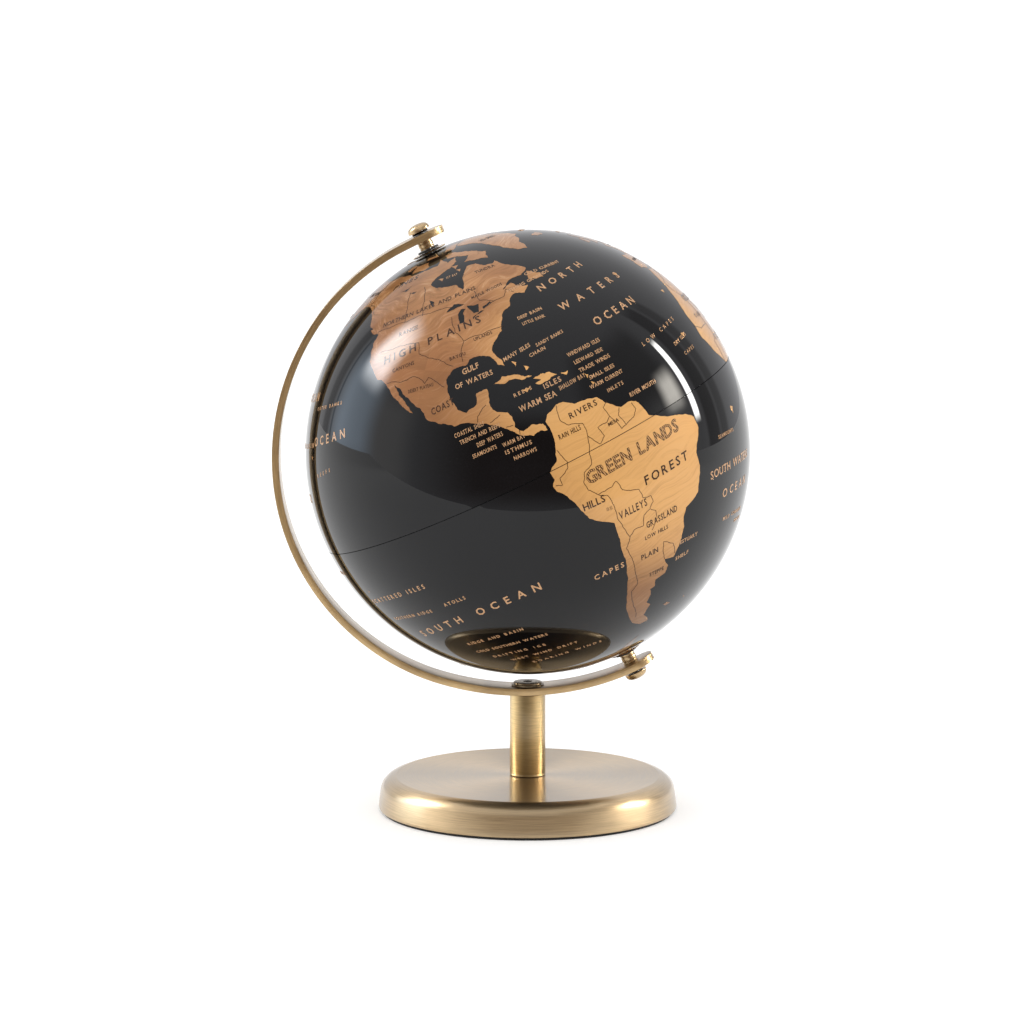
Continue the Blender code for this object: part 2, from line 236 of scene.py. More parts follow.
def brass(name, grain, bright, roughness, patina, scale=2.2, depth=0.03, painted_bands=None):
    """Brushed antique brass under thin lacquer: fine grain, and an uneven brown patina; optionally also painted
    reflection stripes round the axis.
    """
    tree, shader = new_material(name)
    fine = noise(tree, grain(tree), scale, 4.0, 0.65)
    cloud = noise(tree, position(tree), 38.0, 4.0, 0.6)
    stain = remap(tree, cloud, 0.42, 0.72, 0.0, patina)
    colour = blend(tree, stain, bright, BROWN)
    colour = shade(tree, colour, remap(tree, fine, 0.3, 0.7, 0.78, 1.15))
    if painted_bands:
        colour = anisotropy_and_painted_bands(tree, shader, colour, *painted_bands)
    grained = remap(tree, fine, 0.3, 0.7, roughness - 0.04, roughness + 0.05)
    surface(tree, shader, Base_Color=colour, Metallic=1.0, Coat_Weight=0.6, Coat_Roughness=0.12,
            Roughness=maths(tree, "ADD", grained, times(tree, stain, 0.12)))
    if depth:
        surface(tree, shader, Normal=bump(tree, fine, depth, 0.0001))


def steel(name, colour, roughness):
    """Plated or blackened steel: turned grain and faint mottling."""
    tree, shader = new_material(name)
    fine = noise(tree, turned_grain(tree), 1.5)
    mottle = noise(tree, position(tree), 220.0)
    dark = tuple(0.6 * c for c in colour)
    tone = blend(tree, remap(tree, fine, 0.3, 0.7, 0.0, 0.8), colour, dark)
    tone = blend(tree, remap(tree, mottle, 0.45, 0.75, 0.0, 0.5), tone, dark)
    surface(tree, shader, Base_Color=tone, Metallic=1.0, Normal=bump(tree, fine, 0.12, 0.0001),
            Roughness=remap(tree, mottle, 0.3, 0.7, roughness - 0.06, roughness + 0.08))


def moulded(name, colour, roughness, pits=900.0, depth=0.00005):
    """Moulded plastic, foam or rough casting: a fine pitted skin."""
    tree, shader = new_material(name)
    grain = noise(tree, position(tree), pits, 5.0, 0.7)
    light = tuple(1.5 * c + 0.01 for c in colour)
    surface(tree, shader, Normal=bump(tree, grain, 0.5, depth),
            Base_Color=blend(tree, remap(tree, grain, 0.35, 0.7, 0.0, 0.6), colour, light),
            Roughness=remap(tree, grain, 0.3, 0.7, roughness - 0.06, roughness + 0.06))


def lacquered(name, paint):
    """Material under the ball's thick clear coat, with the looks that the paint gives."""
    tree, shader = new_material(name)
    surface(tree, shader, Specular_IOR_Level=0.0, Coat_Weight=1.0, Coat_Roughness=0.015,
            Coat_IOR=1.37, **paint(tree))


def ocean(tree):
    """Charcoal print with faint clouds and flecks."""
    cloud = noise(tree, position(tree), 14.0)
    fleck = noise(tree, position(tree), 1400.0, 2.0)
    tone = blend(tree, remap(tree, cloud, 0.35, 0.7, 0.0, 1.0),
                 (0.0014, 0.0014, 0.0018), (0.0034, 0.0033, 0.0040))
    tone = blend(tree, remap(tree, fleck, 0.6, 0.8, 0.0, 0.3), tone, (0.016, 0.016, 0.018))
    return {"Base_Color": tone, "Roughness": remap(tree, cloud, 0.3, 0.7, 0.35, 0.5)}


GORE = math.radians(30)           # width of the map's strips, whose tints differ a little
BANDS_PER_METRE = 22.0            # and of the level bands that cut each strip up
PAINTED_HIGHLIGHT_SIDE = (0.58, -0.74, 0.34)   # painted highlight: the copper is painted light gold where the ball faces this way, towards the light on the right front


def land(tree):
    """Copper print: bent brush streaks, patches of tone, and the strips it is printed in; with a painted gold
    highlight on the side facing the light, and painted shade towards the bottom.
    """
    place = position(tree)
    swirl = noise(tree, place, 24.0, 2.0)
    bent = vector_maths(tree, "ADD", place, vector_of(tree, times(tree, swirl, 0.03),
                                                      times(tree, swirl, 0.05), 0.0))
    strokes = add(tree, "ShaderNodeMapping", {"Vector": bent, "Rotation": (0.2, -0.5, 0.0),
                                              "Scale": (0.032, 0.011, 0.0010)},
                  vector_type="TEXTURE")
    fine = noise(tree, strokes, 1.0, 4.0, 0.7)
    streaked = remap(tree, noise(tree, place, 15.0, 2.0), 0.38, 0.62, 0.25, 0.9)
    patch = noise(tree, place, 22.0, 2.0)
    outward = vector_maths(tree, "SUBTRACT", place, tuple(CENTRE))
    # Painted highlight: light gold, with fainter streaks, where the print faces the light on the right front.
    facing = vector_maths(tree, "DOT_PRODUCT", outward,
                          tuple(Vector(PAINTED_HIGHLIGHT_SIDE) / BALL_RADIUS), 1)
    painted_highlight = remap(tree, facing, 0.60, 0.92, 0.0, 0.95, "SMOOTHSTEP")
    streaked = times(tree, streaked, remap(tree, painted_highlight, 0.0, 1.0, 1.0, 0.35))
    tone = blend(tree, remap(tree, patch, 0.36, 0.64, 0.0, 1.0),
                 (0.225, 0.094, 0.034), (0.375, 0.180, 0.070))
    tone = blend(tree, painted_highlight, tone, (0.69, 0.372, 0.130))
    dark = times(tree, remap(tree, fine, 0.50, 0.72, 0.0, 0.9), streaked)
    tone = blend(tree, dark, tone, (0.13, 0.055, 0.020))
    pale = times(tree, remap(tree, fine, 0.46, 0.28, 0.0, 0.5), streaked)
    tone = blend(tree, pale, tone, (0.66, 0.42, 0.24))
    x, y, z = split(tree, outward)
    angle = polar(tree, x, y)[1]
    gore = maths(tree, "FLOOR", maths(tree, "DIVIDE", angle, GORE))
    band = maths(tree, "FLOOR", times(tree, z, BANDS_PER_METRE))
    tint = add(tree, "ShaderNodeTexWhiteNoise",
               {"W": maths(tree, "ADD", gore, times(tree, band, 17.0))}, noise_dimensions="1D")
    tone = shade(tree, tone, remap(tree, tint, 0.0, 1.0, 0.88, 1.10))
    # Painted shade: the print is darker towards the bottom of the ball, which gets less light.
    tone = shade(tree, tone, remap(tree, z, -0.075, -0.03, 0.48, 1.0))
    return {"Base_Color": tone, "Roughness": remap(tree, fine, 0.3, 0.7, 0.42, 0.55),
            "Metallic": 0.15}


def ink(tree, colour, worn):
    """Printed ink with uneven cover."""
    cover = noise(tree, position(tree), 900.0, 3.0, 0.7)
    tone = blend(tree, remap(tree, cover, 0.45, 0.75, 0.0, 0.8), colour, worn)
    return {"Base_Color": tone, "Roughness": remap(tree, cover, 0.3, 0.7, 0.4, 0.55),
            "Metallic": 0.2}


def copper_ink(tree):
    return ink(tree, (0.49, 0.28, 0.145), (0.28, 0.155, 0.08))


def dark_ink(tree):
    return ink(tree, (0.030, 0.013, 0.006), (0.09, 0.04, 0.018))


def hatching(tree):
    """Print made of fine slanting lines."""
    lines = add(tree, "ShaderNodeTexWave", {"Vector": position(tree), "Scale": 420.0,
                                            "Distortion": 0.4, "Detail": 1.0}, 1,
                bands_direction="DIAGONAL")
    tone = blend(tree, remap(tree, lines, 0.35, 0.55, 0.0, 1.0), (0.50, 0.27, 0.11),
                 (0.07, 0.030, 0.012))
    return {"Base_Color": tone, "Roughness": remap(tree, lines, 0.0, 1.0, 0.4, 0.5)}


# The base and the post get painted reflection stripes round their axis: the angle of the brightest stripe, and how
# strong the stripes are.
brass("base_brass", turned_grain, (0.555, 0.405, 0.23), 0.32, 0.10, depth=0.0, painted_bands=(-46, 0.26))
brass("post_brass", fine_rings, (0.60, 0.43, 0.20), 0.38, 0.10, 3.0, depth=0.0, painted_bands=(-56, 0.46))
brass("arm_brass", bar_grain, (0.60, 0.42, 0.205), 0.36, 0.50, 2.8)
brass("pin_brass", turned_grain, (0.60, 0.43, 0.23), 0.24, 0.60, 3.0)
brass("disc_brass", turned_grain, (0.85, 0.62, 0.33), 0.14, 0.25, 3.0)
steel("dark_screw", (0.24, 0.18, 0.11), 0.26)
steel("dark_washer", (0.012, 0.010, 0.009), 0.35)
steel("fastener_steel", (0.55, 0.56, 0.58), 0.30)
moulded("cast_weight", (0.05, 0.05, 0.055), 0.75, 500.0, 0.0002)
moulded("base_pad", (0.010, 0.010, 0.010), 0.85, 1600.0, 0.0001)
moulded("inner_plastic", (0.03, 0.03, 0.035), 0.50)
moulded("black_nylon", (0.010, 0.009, 0.008), 0.40)
lacquered("ball_gloss", ocean)
lacquered("land_copper", land)
lacquered("print_copper", copper_ink)
lacquered("hatched", hatching)
lacquered("print_dark", dark_ink)


# ------------------------------------------------------------ mesh tools
def linked(name, data):
    """New object with this data, in the scene."""
    obj = bpy.data.objects.new(name, data)
    STUDIO.objects.link(obj)
    return obj


def piece(name, mesh, slot, body, replaced=(), place=None, material=None):
    """A finished piece: its material (the one named for its record slot, unless another is given), its body, the
    CAD nodes it stands for.
    """
    obj = linked(name, mesh)
    if place is not None:
        obj.matrix_world = place
    mesh.materials.append(MATERIALS[material or slot])
    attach(obj, body)
    if replaced:
        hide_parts(*replaced)


def evaluated(obj):
    """The object's mesh with its modifiers applied. The object itself is removed."""
    depsgraph = bpy.context.evaluated_depsgraph_get()
    mesh = bpy.data.meshes.new_from_object(obj.evaluated_get(depsgraph))
    bpy.data.objects.remove(obj)
    return mesh


def smoothed(mesh, sharp=40):
    """Faces turned outwards and shaded smooth, except across sharp edges."""
    work = bmesh.new()
    work.from_mesh(mesh)
    bmesh.ops.recalc_face_normals(work, faces=work.faces)
    work.to_mesh(mesh)
    work.free()
    mesh.shade_smooth()
    mesh.set_sharp_from_angle(angle=math.radians(sharp))
    return mesh


def rounding(obj, width, steps=3, angle=35):
    """A Bevel modifier that rounds the sharp edges."""
    bevel = obj.modifiers.new("round", "BEVEL")
    bevel.width = width
    bevel.segments = steps
    bevel.limit_method = "ANGLE"
    bevel.angle_limit = math.radians(angle)


def turned(name, profile, segments, bevel=0.0):
    """Mesh of a closed profile of (radius, height) points turned round Z, edges rounded."""
    count = len(profile)
    mesh = bpy.data.meshes.new(name)
    mesh.from_pydata([(radius, 0, height) for radius, height in profile],
                     [(i, (i + 1) % count) for i in range(count)], [])
    obj = linked(name, mesh)
    screw = obj.modifiers.new("turn", "SCREW")
    screw.steps = segments
    screw.render_steps = segments
    screw.use_merge_vertices = True
    screw.merge_threshold = 0.000001
    if bevel:
        rounding(obj, bevel)
    return smoothed(evaluated(obj))


def ring(inner, outer, low, high):
    return [(inner, high), (outer, high), (outer, low), (inner, low)]


def arc(radius, start, end, steps):
    """Points on a circle round the origin, from one angle to another, in degrees."""
    angles = [math.radians(start + (end - start) * i / steps) for i in range(steps + 1)]
    return [(radius * math.cos(angle), radius * math.sin(angle)) for angle in angles]


def through(points, steps):
    """Smooth curve through the points (Catmull-Rom)."""
    ends = [Vector(points[0]) * 2 - Vector(points[1]), *map(Vector, points),
            Vector(points[-1]) * 2 - Vector(points[-2])]
    curve = []
    for before, a, b, after in zip(ends, ends[1:], ends[2:], ends[3:]):
        for i in range(steps):
            t = i / steps
            curve.append(0.5 * (2 * a + (b - before) * t
                                + (2 * before - 5 * a + 4 * b - after) * t ** 2
                                + (3 * a - before - 3 * b + after) * t ** 3))
    return [tuple(point) for point in curve] + [tuple(points[-1])]


# ------------------------------------------------------------ the map's own places
# The print sits about 5 degrees off the axis that the ball turns on.
MAP_TURN = (Matrix.Rotation(math.radians(-20.85), 3, "Y")
            @ Matrix.Rotation(math.radians(-3.34), 3, "X"))
MAP_SPIN = -4.78
LAND_TOP = 0.05 * MM              # above the ball's surface
LINE_TOP = 0.09 * MM
LETTER_TOP = 0.10 * MM
SUNK = 0.05 * MM                  # every printed patch also reaches this far into the ball
SEAM_GAP = 0.30 * MM
COAST_STEP = 0.9 * MM
PATCH_STEP = 3.2 * MM
LINE_WIDTH = 0.26 * MM


def direction(lon, lat):
    """From the ball's centre towards a place on the map, in degrees east and north."""
    east, north = math.radians(lon + MAP_SPIN), math.radians(lat)
    return MAP_TURN @ Vector((math.cos(north) * math.cos(east),
                              math.cos(north) * math.sin(east), math.sin(north)))


def path(text):
    """Places along a line or a coast, from "east,north east,north ...", in degrees."""
    return [tuple(map(float, place.split(","))) for place in text.split()]


def paths(text):
    """Several lines or coasts, parted by semicolons."""
    return [path(part) for part in text.split(";")]


SOUTH_AMERICA = path("""
    -76,9 -75,10.5 -72,12 -70,12 -67.5,10.5 -64,10.5 -61.5,10 -60,8 -58,6.5 -56.5,5.5 -54,6 -52,5.5
    -51,4 -50,1 -46.5,-0.5 -43,-1.5 -38.5,-2.5 -36,-4 -35.5,-7 -36.5,-9 -38.5,-12.5 -38,-16 -39,-19.5
    -40,-22.5 -42.5,-24 -45,-25 -46,-27 -46,-30 -47,-33 -48,-35 -50,-37.5 -53.5,-37 -52,-39.5 -53,-41.5
    -57,-42.5 -57,-44.5 -59,-45 -58.5,-47 -60,-49.5 -58,-51 -60.5,-54.5 -57,-58 -61,-58.5 -66,-56
    -68,-51.5 -68,-42 -67,-34 -67.5,-26 -68,-21 -71,-19.5 -74,-17.5 -75.5,-14.5 -77.5,-10 -79.5,-8
    -80,-6.5 -79,-5 -79.5,-3 -77,-1 -76,2.5 -75.5,6""")
NORTH_AMERICA = path("""
    -168,66 -162,67 -166,68.5 -157,71 -141,69.5 -128,70 -115,68 -108,68 -95,68.5 -94,72 -88,68 -82,69.5
    -82,67 -87,64.5 -95,62.5 -98.5,60 -95,57.5 -90.5,56.5 -86.5,56 -84,53 -82.5,56 -81,59.5 -78,62.3
    -73,62 -69.5,59.5 -66,59 -64,60 -62,57 -57,53.5 -56,52 -60,50.3 -66,50 -70,47.5 -66,49 -64.5,47
    -61,46 -64,44 -67,45 -70,43.5 -71,41.7 -74,40.7 -76,38 -77,35.5 -80,33.5 -82,31 -81,28.5 -80.3,26
    -82,27 -83.5,30 -86,31 -89,31 -90.5,29.8 -94,30 -97,28 -97.4,25 -97,22 -96,19.5 -94,18 -91,19
    -90,21.8 -87,22 -87.6,18.5 -87.3,16.5 -84,14.5 -83.3,13 -83.6,10.5 -82,8.8 -79.5,9.6 -76.8,8.8
    -76.3,7 -78,7.5 -80,6.8 -82.5,7.8 -84,9.3 -86,11 -88,12.6 -92,14.5 -94.5,15.6 -98,15.8 -102,17.8
    -105,20 -106,23 -108.5,25.5 -110.5,28 -111.7,30.2 -113.5,31.6 -112.7,30 -111,27 -109.4,24.4
    -108.6,22.6 -111.5,25.2 -113.2,27.5 -115,30.2 -116.5,32.5 -120,34.6 -122,37.5 -124,40.5 -124,46
    -122.5,48 -126,50 -129,51.5 -131,54.5 -135,58 -139.5,59.7 -146,60.7 -151.5,59.5 -156,57.5 -163,54.8
    -158,58.5 -165,61 -164.5,63.5 -161,64.5""")
AFRICA = path("""
    -6,35.8 -2,35.1 3,36.8 10,37.2 11,34 15.5,32.3 20,31 23,32.7 29,31 32.5,31.2 34.5,28 37,21.5
    39.5,15.5 43,11.7 51,12 48,5 42,-1.5 39,-6 40.5,-14 35.5,-20 35,-24 32.5,-28 27,-33.7 20,-34.7
    18,-32 15,-27 12,-18 13.5,-11 9,-1 9.5,4 4.5,6.3 -2,4.8 -7.5,4.4 -13,8.5 -16,13 -15.5,20 -12,27
    -9.5,31""")
EURASIA = path("""
    -10,37 -9.5,43 -1.7,43.4 -1.2,46 -4.5,48.3 1.5,50.2 4,52 8.5,54 8.3,57 10.5,57.5 10.5,54.3 14,54
    19,54.5 21,57 24,57.2 23.5,59.2 28,59.8 22.5,60 21.5,61.5 25,65 22,65.7 17.5,62 17,60.5 16.5,57
    14,55.5 12,57.5 10.5,59 7,58 5,61 10,64 14.5,68 21,70 28,71 40,68 40,66.2 34,66.5 37,64 44,66
    44,68.3 54,68.5 60,69 68,68.5 68,72.5 73,72.5 80,73 87,75 104,77.5 113,74 125,73 140,72.5 160,70
    170,69.5 180,68.5 190,66 187,64.5 178,62.5 170,60 163,59.5 162,56 157,51 156,57 163,61.5 156,61
    150,59.5 142,59 135,54.5 140,52 140,48 133,43 129.5,41 127.5,39.5 129.3,37 129,35.3 126.5,34.5
    126,37.5 124.5,40 121.5,39 121.5,40.8 118,39 119,37.3 122.5,37 119.5,35 122,31 121.5,28 117,23.7
    110,21 108,21.5 106,19 109,13 107,10.3 105,8.7 104.5,10.5 101,13 99.5,10 103.3,4.5 104,1.4 101,3
    98.5,8 98,14 97,17 94.5,16 92,22 87.5,21.5 82,16.5 80,13 79.5,10 77.5,8 75,12 73,17 72.7,21 70,21
    67,24.8 61.5,25.2 57,26 54,26.6 50.5,30 48,30 50,26.5 51.5,25 54,24 56.3,26 59.7,22.5 55,17.5
    45,12.8 43,14 42.5,17 39,21.5 35,28 34.5,31.5 36,36 31,36.7 27.5,37 26.5,40 29,41.2 35,42 41.5,41.5
    38,44.5 37,46.8 34,44.5 33,46 30.5,46.3 28,43.5 27.5,41.5 24,40.7 22.8,40 24,38 22.5,36.6 20,39.5
    19.5,42 13.5,45.5 12.5,44.5 14,42.5 18.4,40.2 16.5,39.8 16,38 12.5,41.3 10.3,43.3 8.5,44.3 4,43.4
    3,42 0,39.8 -0.5,38 -2,36.8 -5.5,36""")
AUSTRALIA = path("""
    114,-22 117,-20.7 122,-18 125,-14.5 129,-15 131,-12 136.5,-12.2 135.8,-15 140.8,-17.5 142.3,-11
    145.5,-15 149,-20.5 153,-25 153,-31 150,-37.3 146.5,-39 143.5,-38.6 139.8,-37 138.2,-34.5 136,-34.8
    132,-32 128,-32 123.8,-34 118,-35 115,-34 115.7,-31.5 113.5,-26""")
ANTARCTICA = path("""
    0,-70 30,-69 55,-66.5 80,-67.5 110,-66 140,-67 165,-71 170,-78 -160,-78 -135,-74.5 -100,-73 -75,-73
    -64,-68 -59,-65 -61,-72 -60,-76 -40,-78 -20,-74""")
GREENLAND = path("""
    -73,78.5 -68,80.5 -60,82 -40,83.3 -25,82.5 -18,80 -19,76 -22,72.5 -25,69.5 -33,67.5 -40,64.5
    -43.5,60 -48,61 -52,65 -54,69.5 -56,73 -61,76""")
ISLANDS = paths("""
    -80,73.5 -73,71.5 -68,69.5 -62,66.5 -65,62.5 -72,64 -78,65 -73,68 -80,70 -88,71 -89,73.5; -117,73
    -105,73 -102,70 -106,68.8 -116,69.2; -90,76.5 -80,76.2 -75,79 -62,82.3 -75,83 -90,81; -125,74
    -117,73.3 -121,71.3 -126,72; -110,76.5 -98,76.5 -96,75 -108,74.8; -88,65.3 -82,64.6 -84,63; -84,62.4
    -81.5,62.2 -82.5,61; -94.5,61 -91.5,60.8 -92.5,59.6; -59,47.8 -57,51 -55.5,49.8 -53,48.5 -53.5,46.8;
    -128,50.7 -125,49.8 -123.5,48.5 -125.8,48.9; -85,22.4 -82,23.6 -78,22.6 -74.6,21 -77.5,20.9
    -79.5,21.9; -74.6,20.2 -70,20.3 -68.4,19 -71.5,18.3 -74.6,18.8 -72.8,19.3; -79,18.4 -76.3,18.2
    -77.5,17.5; -67.4,19 -65.4,18.9 -66.2,18; -61.8,16.6 -60.8,16 -61.4,15.2; -61,14.2 -60.2,13.6
    -61,12.8; -78.2,26.4 -77,25.8 -77.6,24.6; -75.6,24.2 -74.4,23.4 -75.4,22.8; -24,65.5 -20,66 -15,66.2
    -13.7,65 -18,63.5 -22.5,64; -6.5,50.2 -4,53.3 -6,55 -7,57.5 -5,58.6 -3,57.4 -1.5,55 0.3,53 1.6,52.5
    1,51.2; -11,52 -10.5,54 -8.5,55.2 -6.8,54.3 -7.3,52.3; 12,79.5 20,80 24,79 16,77; 52,71.5 57,74
    68,76.8 62,75.3 56,71; 8.5,41 9.6,41 9.5,39.2 8.5,39; 12.6,38 15.4,38 15,36.8; 23.6,35.4 26.2,35.2
    25,34.8; 32.5,35.2 34.4,35.6 33.2,34.6; 49.3,-12 50.4,-16 47,-25 44,-24 43.7,-21 44.5,-16.5; 80,9.5
    81.8,7.5 80.2,6; 130,33.5 131,31.5 132,33.5 136,34 140,35.5 141.8,39.5 140.5,41 139.5,38.5 136.5,37
    132,35.3; 140,42 143,42.3 145.3,43.5 142,45.3; 142.2,46.5 143.5,49 142.8,54 141.9,50; 120.2,25
    121.8,25 120.8,22.2; 108.8,19.8 110.8,20 109.4,18.3; 120.5,18 122,18 122,14 120.5,14.5; 122.5,7
    125.5,9.5 126.3,7 124,6; 122,11.5 124.8,11.8 123.5,9.6; 109,1.5 113,3 117,7 119,5 117.5,1 116,-4
    111,-3; 95.5,5.5 98.5,3.8 103.5,0 106,-3 105.5,-5.8 102,-4 98.5,1; 105.3,-6.5 108.5,-6.7 114.3,-7.7
    114,-8.6 108,-7.8; 119.5,-5 120.5,-2.7 121,-5 122.5,-4.5 121,-1 125,1.5 120,0.7 119,-3; 116,-8.4
    122,-8.3 127,-8.6 121,-9.2; 127.5,2 128.6,0.5 127.8,-0.8; 131,-1 134,-0.8 137,-1.7 141,-2.7 145,-4.3
    147.5,-6 150.5,-10.3 146,-9 143,-9 138,-8.3 137.5,-5 133,-4; 149,-5.6 152.3,-4.2 151,-6.2; 155,-6
    160.8,-9.8 158,-8.8; 164,-20.2 167,-22.4 165,-21.8; 177.3,-17.5 179.6,-17 178,-18.4; 144.8,-40.8
    148.3,-41 147,-43.6; 172.8,-34.5 175.5,-37 178.4,-37.7 176.5,-41.3 174,-39.3; 172.8,-40.6
    174.2,-41.7 171,-45.5 168.5,-46.6 166.6,-46; -50.5,-53.6 -48.5,-53.4 -46,-54.2 -49,-54.6; -17.6,-5.8
    -16,-6.2 -16.6,-7.8; -156.2,20.2 -154.8,19.6 -155.8,19; -25.4,16.4 -24,16.2 -24.6,15; -29,39
    -27.6,38.8 -28.2,38; -17,28.8 -15,28.6 -16,27.8; 69,-49 70.5,-49.2 69.4,-49.8; -38,-54 -35.6,-54.8
    -37,-54.8; 57,-20 58,-20.4 57.2,-21; -149.8,-17.2 -148.8,-17.6 -149.6,-18""")
NORTHERN_LAKES = paths("""
    -92.5,47 -89,49 -84.8,47.5 -88.5,47.4; -88.8,42 -88.6,45 -87,46.4 -85.2,46 -86.6,45 -87.2,41.8;
    -84.6,46.8 -80.3,46 -81.4,43.4 -83.2,43.6; -84,41.8 -79.5,43.2 -80.5,43.6 -83.8,42.6; -79.6,44
    -76,45 -76.4,45.5 -79.6,44.6; -99,53.8 -96.7,52.4 -97.4,50.7; -124,66.4 -119,66.6 -121,65; -117,61.6
    -110,63 -113,61; -111,59.6 -106,59.2 -108,58.8""")
AFRICAN_LAKES = paths("""
    31.6,0.4 34.2,0.2 33.6,-2.6 31.6,-2.2; 29.2,-3.6 30.8,-8.6 30.2,-6; 34,-9.8 35,-14 34.3,-12""")
ASIAN_LAKES = paths("""
    49,46 53,46.5 53.5,42 53,37 49,37.5 49.5,41 47.5,43; 58.4,46.6 61.4,46 59,43.8; 104.2,51.5
    109.8,55.6 107.4,52.8; 31,61.6 32.8,60.8 31.4,59.8; 74,46.4 78.8,46.8 76,45.4""")
BORDERS = paths("""
    -123,49 -109,49 -95,49 -90,48.2; -79.5,43.8 -75,45 -71,45.3 -69,47.5 -67,45.4; -141,69.5 -141,60.3
    -135,59.5 -131,56; -116,32.6 -111,31.6 -107,32 -105,31 -103.5,29 -102,30.3 -100.5,29 -98,26.3;
    -104,37.5 -97.5,33.7 -94,30.8; -120,42 -111,42 -104,41 -104,37.5; -91,45 -91,40 -89,36.5 -91,33
    -91,31; -76,36.5 -83,36.5 -89,36.5; -102,60 -102,49; -110,60 -110,49; -80,51 -79.5,47 -75,45;
    -92,14.8 -91.5,16.2 -89.5,17.8 -88.5,18.2; -89,13.6 -86,14.6; -85.6,11.2 -83.8,11; -82.8,9.4
    -83,8.4; -72,11.8 -72.5,8 -71,6.2 -67.5,5.3 -67.5,2 -65.3,-1 -63.5,0.5 -64.3,3 -61.5,3.4 -60.3,4.5
    -61,7 -59.5,8.2; -60.2,4.4 -58.5,0.5 -57,1 -58,3.8 -57,5.6; -57,1 -54.3,2 -52.8,3.7 -53.3,5.5;
    -72.5,-8.3 -71.5,-6 -69,-4.6 -68.7,-2.2 -67.5,2; -72.5,-8.3 -72,-10.5 -70,-12.5 -66,-12 -64.5,-11
    -63.5,-13.7 -59,-15.3 -58.5,-17.7 -56,-18 -55.7,-19.7 -57,-21; -76,1.5 -74.6,-2 -75,-3.5 -77.7,-5.2
    -77.7,-7 -79.3,-6.5; -70,-12.5 -67.8,-13.5 -66.8,-17 -66.8,-20 -64.5,-26.3; -64.5,-26.3 -63,-25
    -60,-24.9 -59.2,-22.2 -57,-21.2 -55.4,-22.3 -55.3,-24.4 -57.5,-27; -64.5,-26.3 -66.2,-29 -64.5,-35.7
    -64.2,-41.4 -66.5,-43 -65.8,-48.8 -64.5,-54; -53.6,-37 -54.2,-34 -53.9,-31.6 -50.3,-33.3
    -49.5,-36.5; -8.5,27.5 -8.5,30 -1.5,33 -1.5,35; -8.5,27.5 3,19.5 11.5,23.5 9,30.5 11,33; 11.5,23.5
    15.5,23 24,20 25,31.2; 24,22 36.5,22; -16,16.5 -12,15 -5,15.5 -4,12 3,13 13.5,13.5 15.5,23; -5,15.5
    -5,25; -8,4.8 -8,10.5 -4,12; 3,6.5 3,13; 9,5 14,12 15,7.5 23,11 24,20; 14,2 19,4.5 27,5 34,4.5
    36,22; 34,4.5 41,4 48,8; 12.5,-5.5 17,-8 22,-11 24,-13 24,-17.5 12.5,-17.5; 30,3 30,-8 33,-9.5
    34,-14.5 31,-22 35,-26; 34,-1 39,-5; 20,-18 20,-28 17,-29; 20,-25 27,-24 31,-22; 20,-28 29,-30
    31,-27; -1.7,43.2 3,42.4; 2.5,51 6,49.5 8,47.5 7,44; 8,47.5 13,47.5 14,54; 13,47.5 18,49 24,50 24,54
    20,54.5; 24,54 32,52 39,48 38,47; 28,60 28,57 32,52; 30,69 30,62; 12,60 14,65 20,69; 50,51 60,51
    70,54 80,51 87,49 98,50 116,50 122,53 134,48 131,43; 87,49 96,43 105,42 112,44 119,47 116,50; 87,49
    80,42 74,40 74,37; 74,37 78,33 86,28.5 97,28.5 98,24 102,22 108,21.7; 61.5,25.5 61,31 66,30 70,34
    74,37 67,37.5 61,36 54,37.3; 69,24 71,28 74.5,32 78,33; 44.5,40 45,36.5 48,30; 36,36.5 42,37
    44.5,40; 39,32 47,29; 35,29.5 39,32 42,37; 43,17 52,19 55,22; 97,28.5 92,22.5; 98.5,18 101,14.5
    103,18 107,14.5; 110,1 115,1.5 117,4.2; 141,-2.8 141,-9; 129,-15 129,-32; 138,-16.5 138,-26 129,-26;
    141,-18 141,-37.5; 141,-29 153,-29; 141,-34 148,-36.5 150,-37.3""")


# ------------------------------------------------------------ printed patches on the ball
def broken(a, b, rng, roughness):
    """A straight stretch between two directions, broken up like a real coast."""
    gap = (b - a).length
    if gap * BALL_RADIUS < COAST_STEP:
        return [a]
    sideways = a.cross(b).normalized() * rng.uniform(-1, 1) * roughness * gap
    middle = ((a + b) / 2 + sideways).normalized()
    return broken(a, middle, rng, roughness) + broken(middle, b, rng, roughness)


def coast(places, seed, roughness=0.11):
    """Directions along a closed, slightly ragged coast."""
    rng = random.Random(seed)
    corners = [direction(*place) for place in places]
    line = []
    for a, b in zip(corners, corners[1:] + corners[:1]):
        line += broken(a, b, rng, roughness)
    return line


def spread():
    """Directions spread evenly over the whole ball, about PATCH_STEP apart."""
    count = round(4 * math.pi * (BALL_RADIUS / PATCH_STEP) ** 2)
    index = np.arange(count) + 0.5
    z = 1 - 2 * index / count
    angle = index * math.pi * (3 - math.sqrt(5))
    flat = np.sqrt(1 - z * z)
    return np.stack([flat * np.cos(angle), flat * np.sin(angle), z], 1)


EVEN_POINTS = spread()


def inside(points, loops):
    """Which of the flat points are inside the loops. A loop in a loop is a hole."""
    odd = np.zeros(len(points), bool)
    x, y = points[:, 0], points[:, 1]
    for loop in loops:
        for (ax, ay), (bx, by) in zip(loop, np.roll(loop, -1, 0)):
            if ay != by:
                crosses = (ay > y) != (by > y)
                odd ^= crosses & (x < (bx - ax) * (y - ay) / (by - ay) + ax)
    return odd


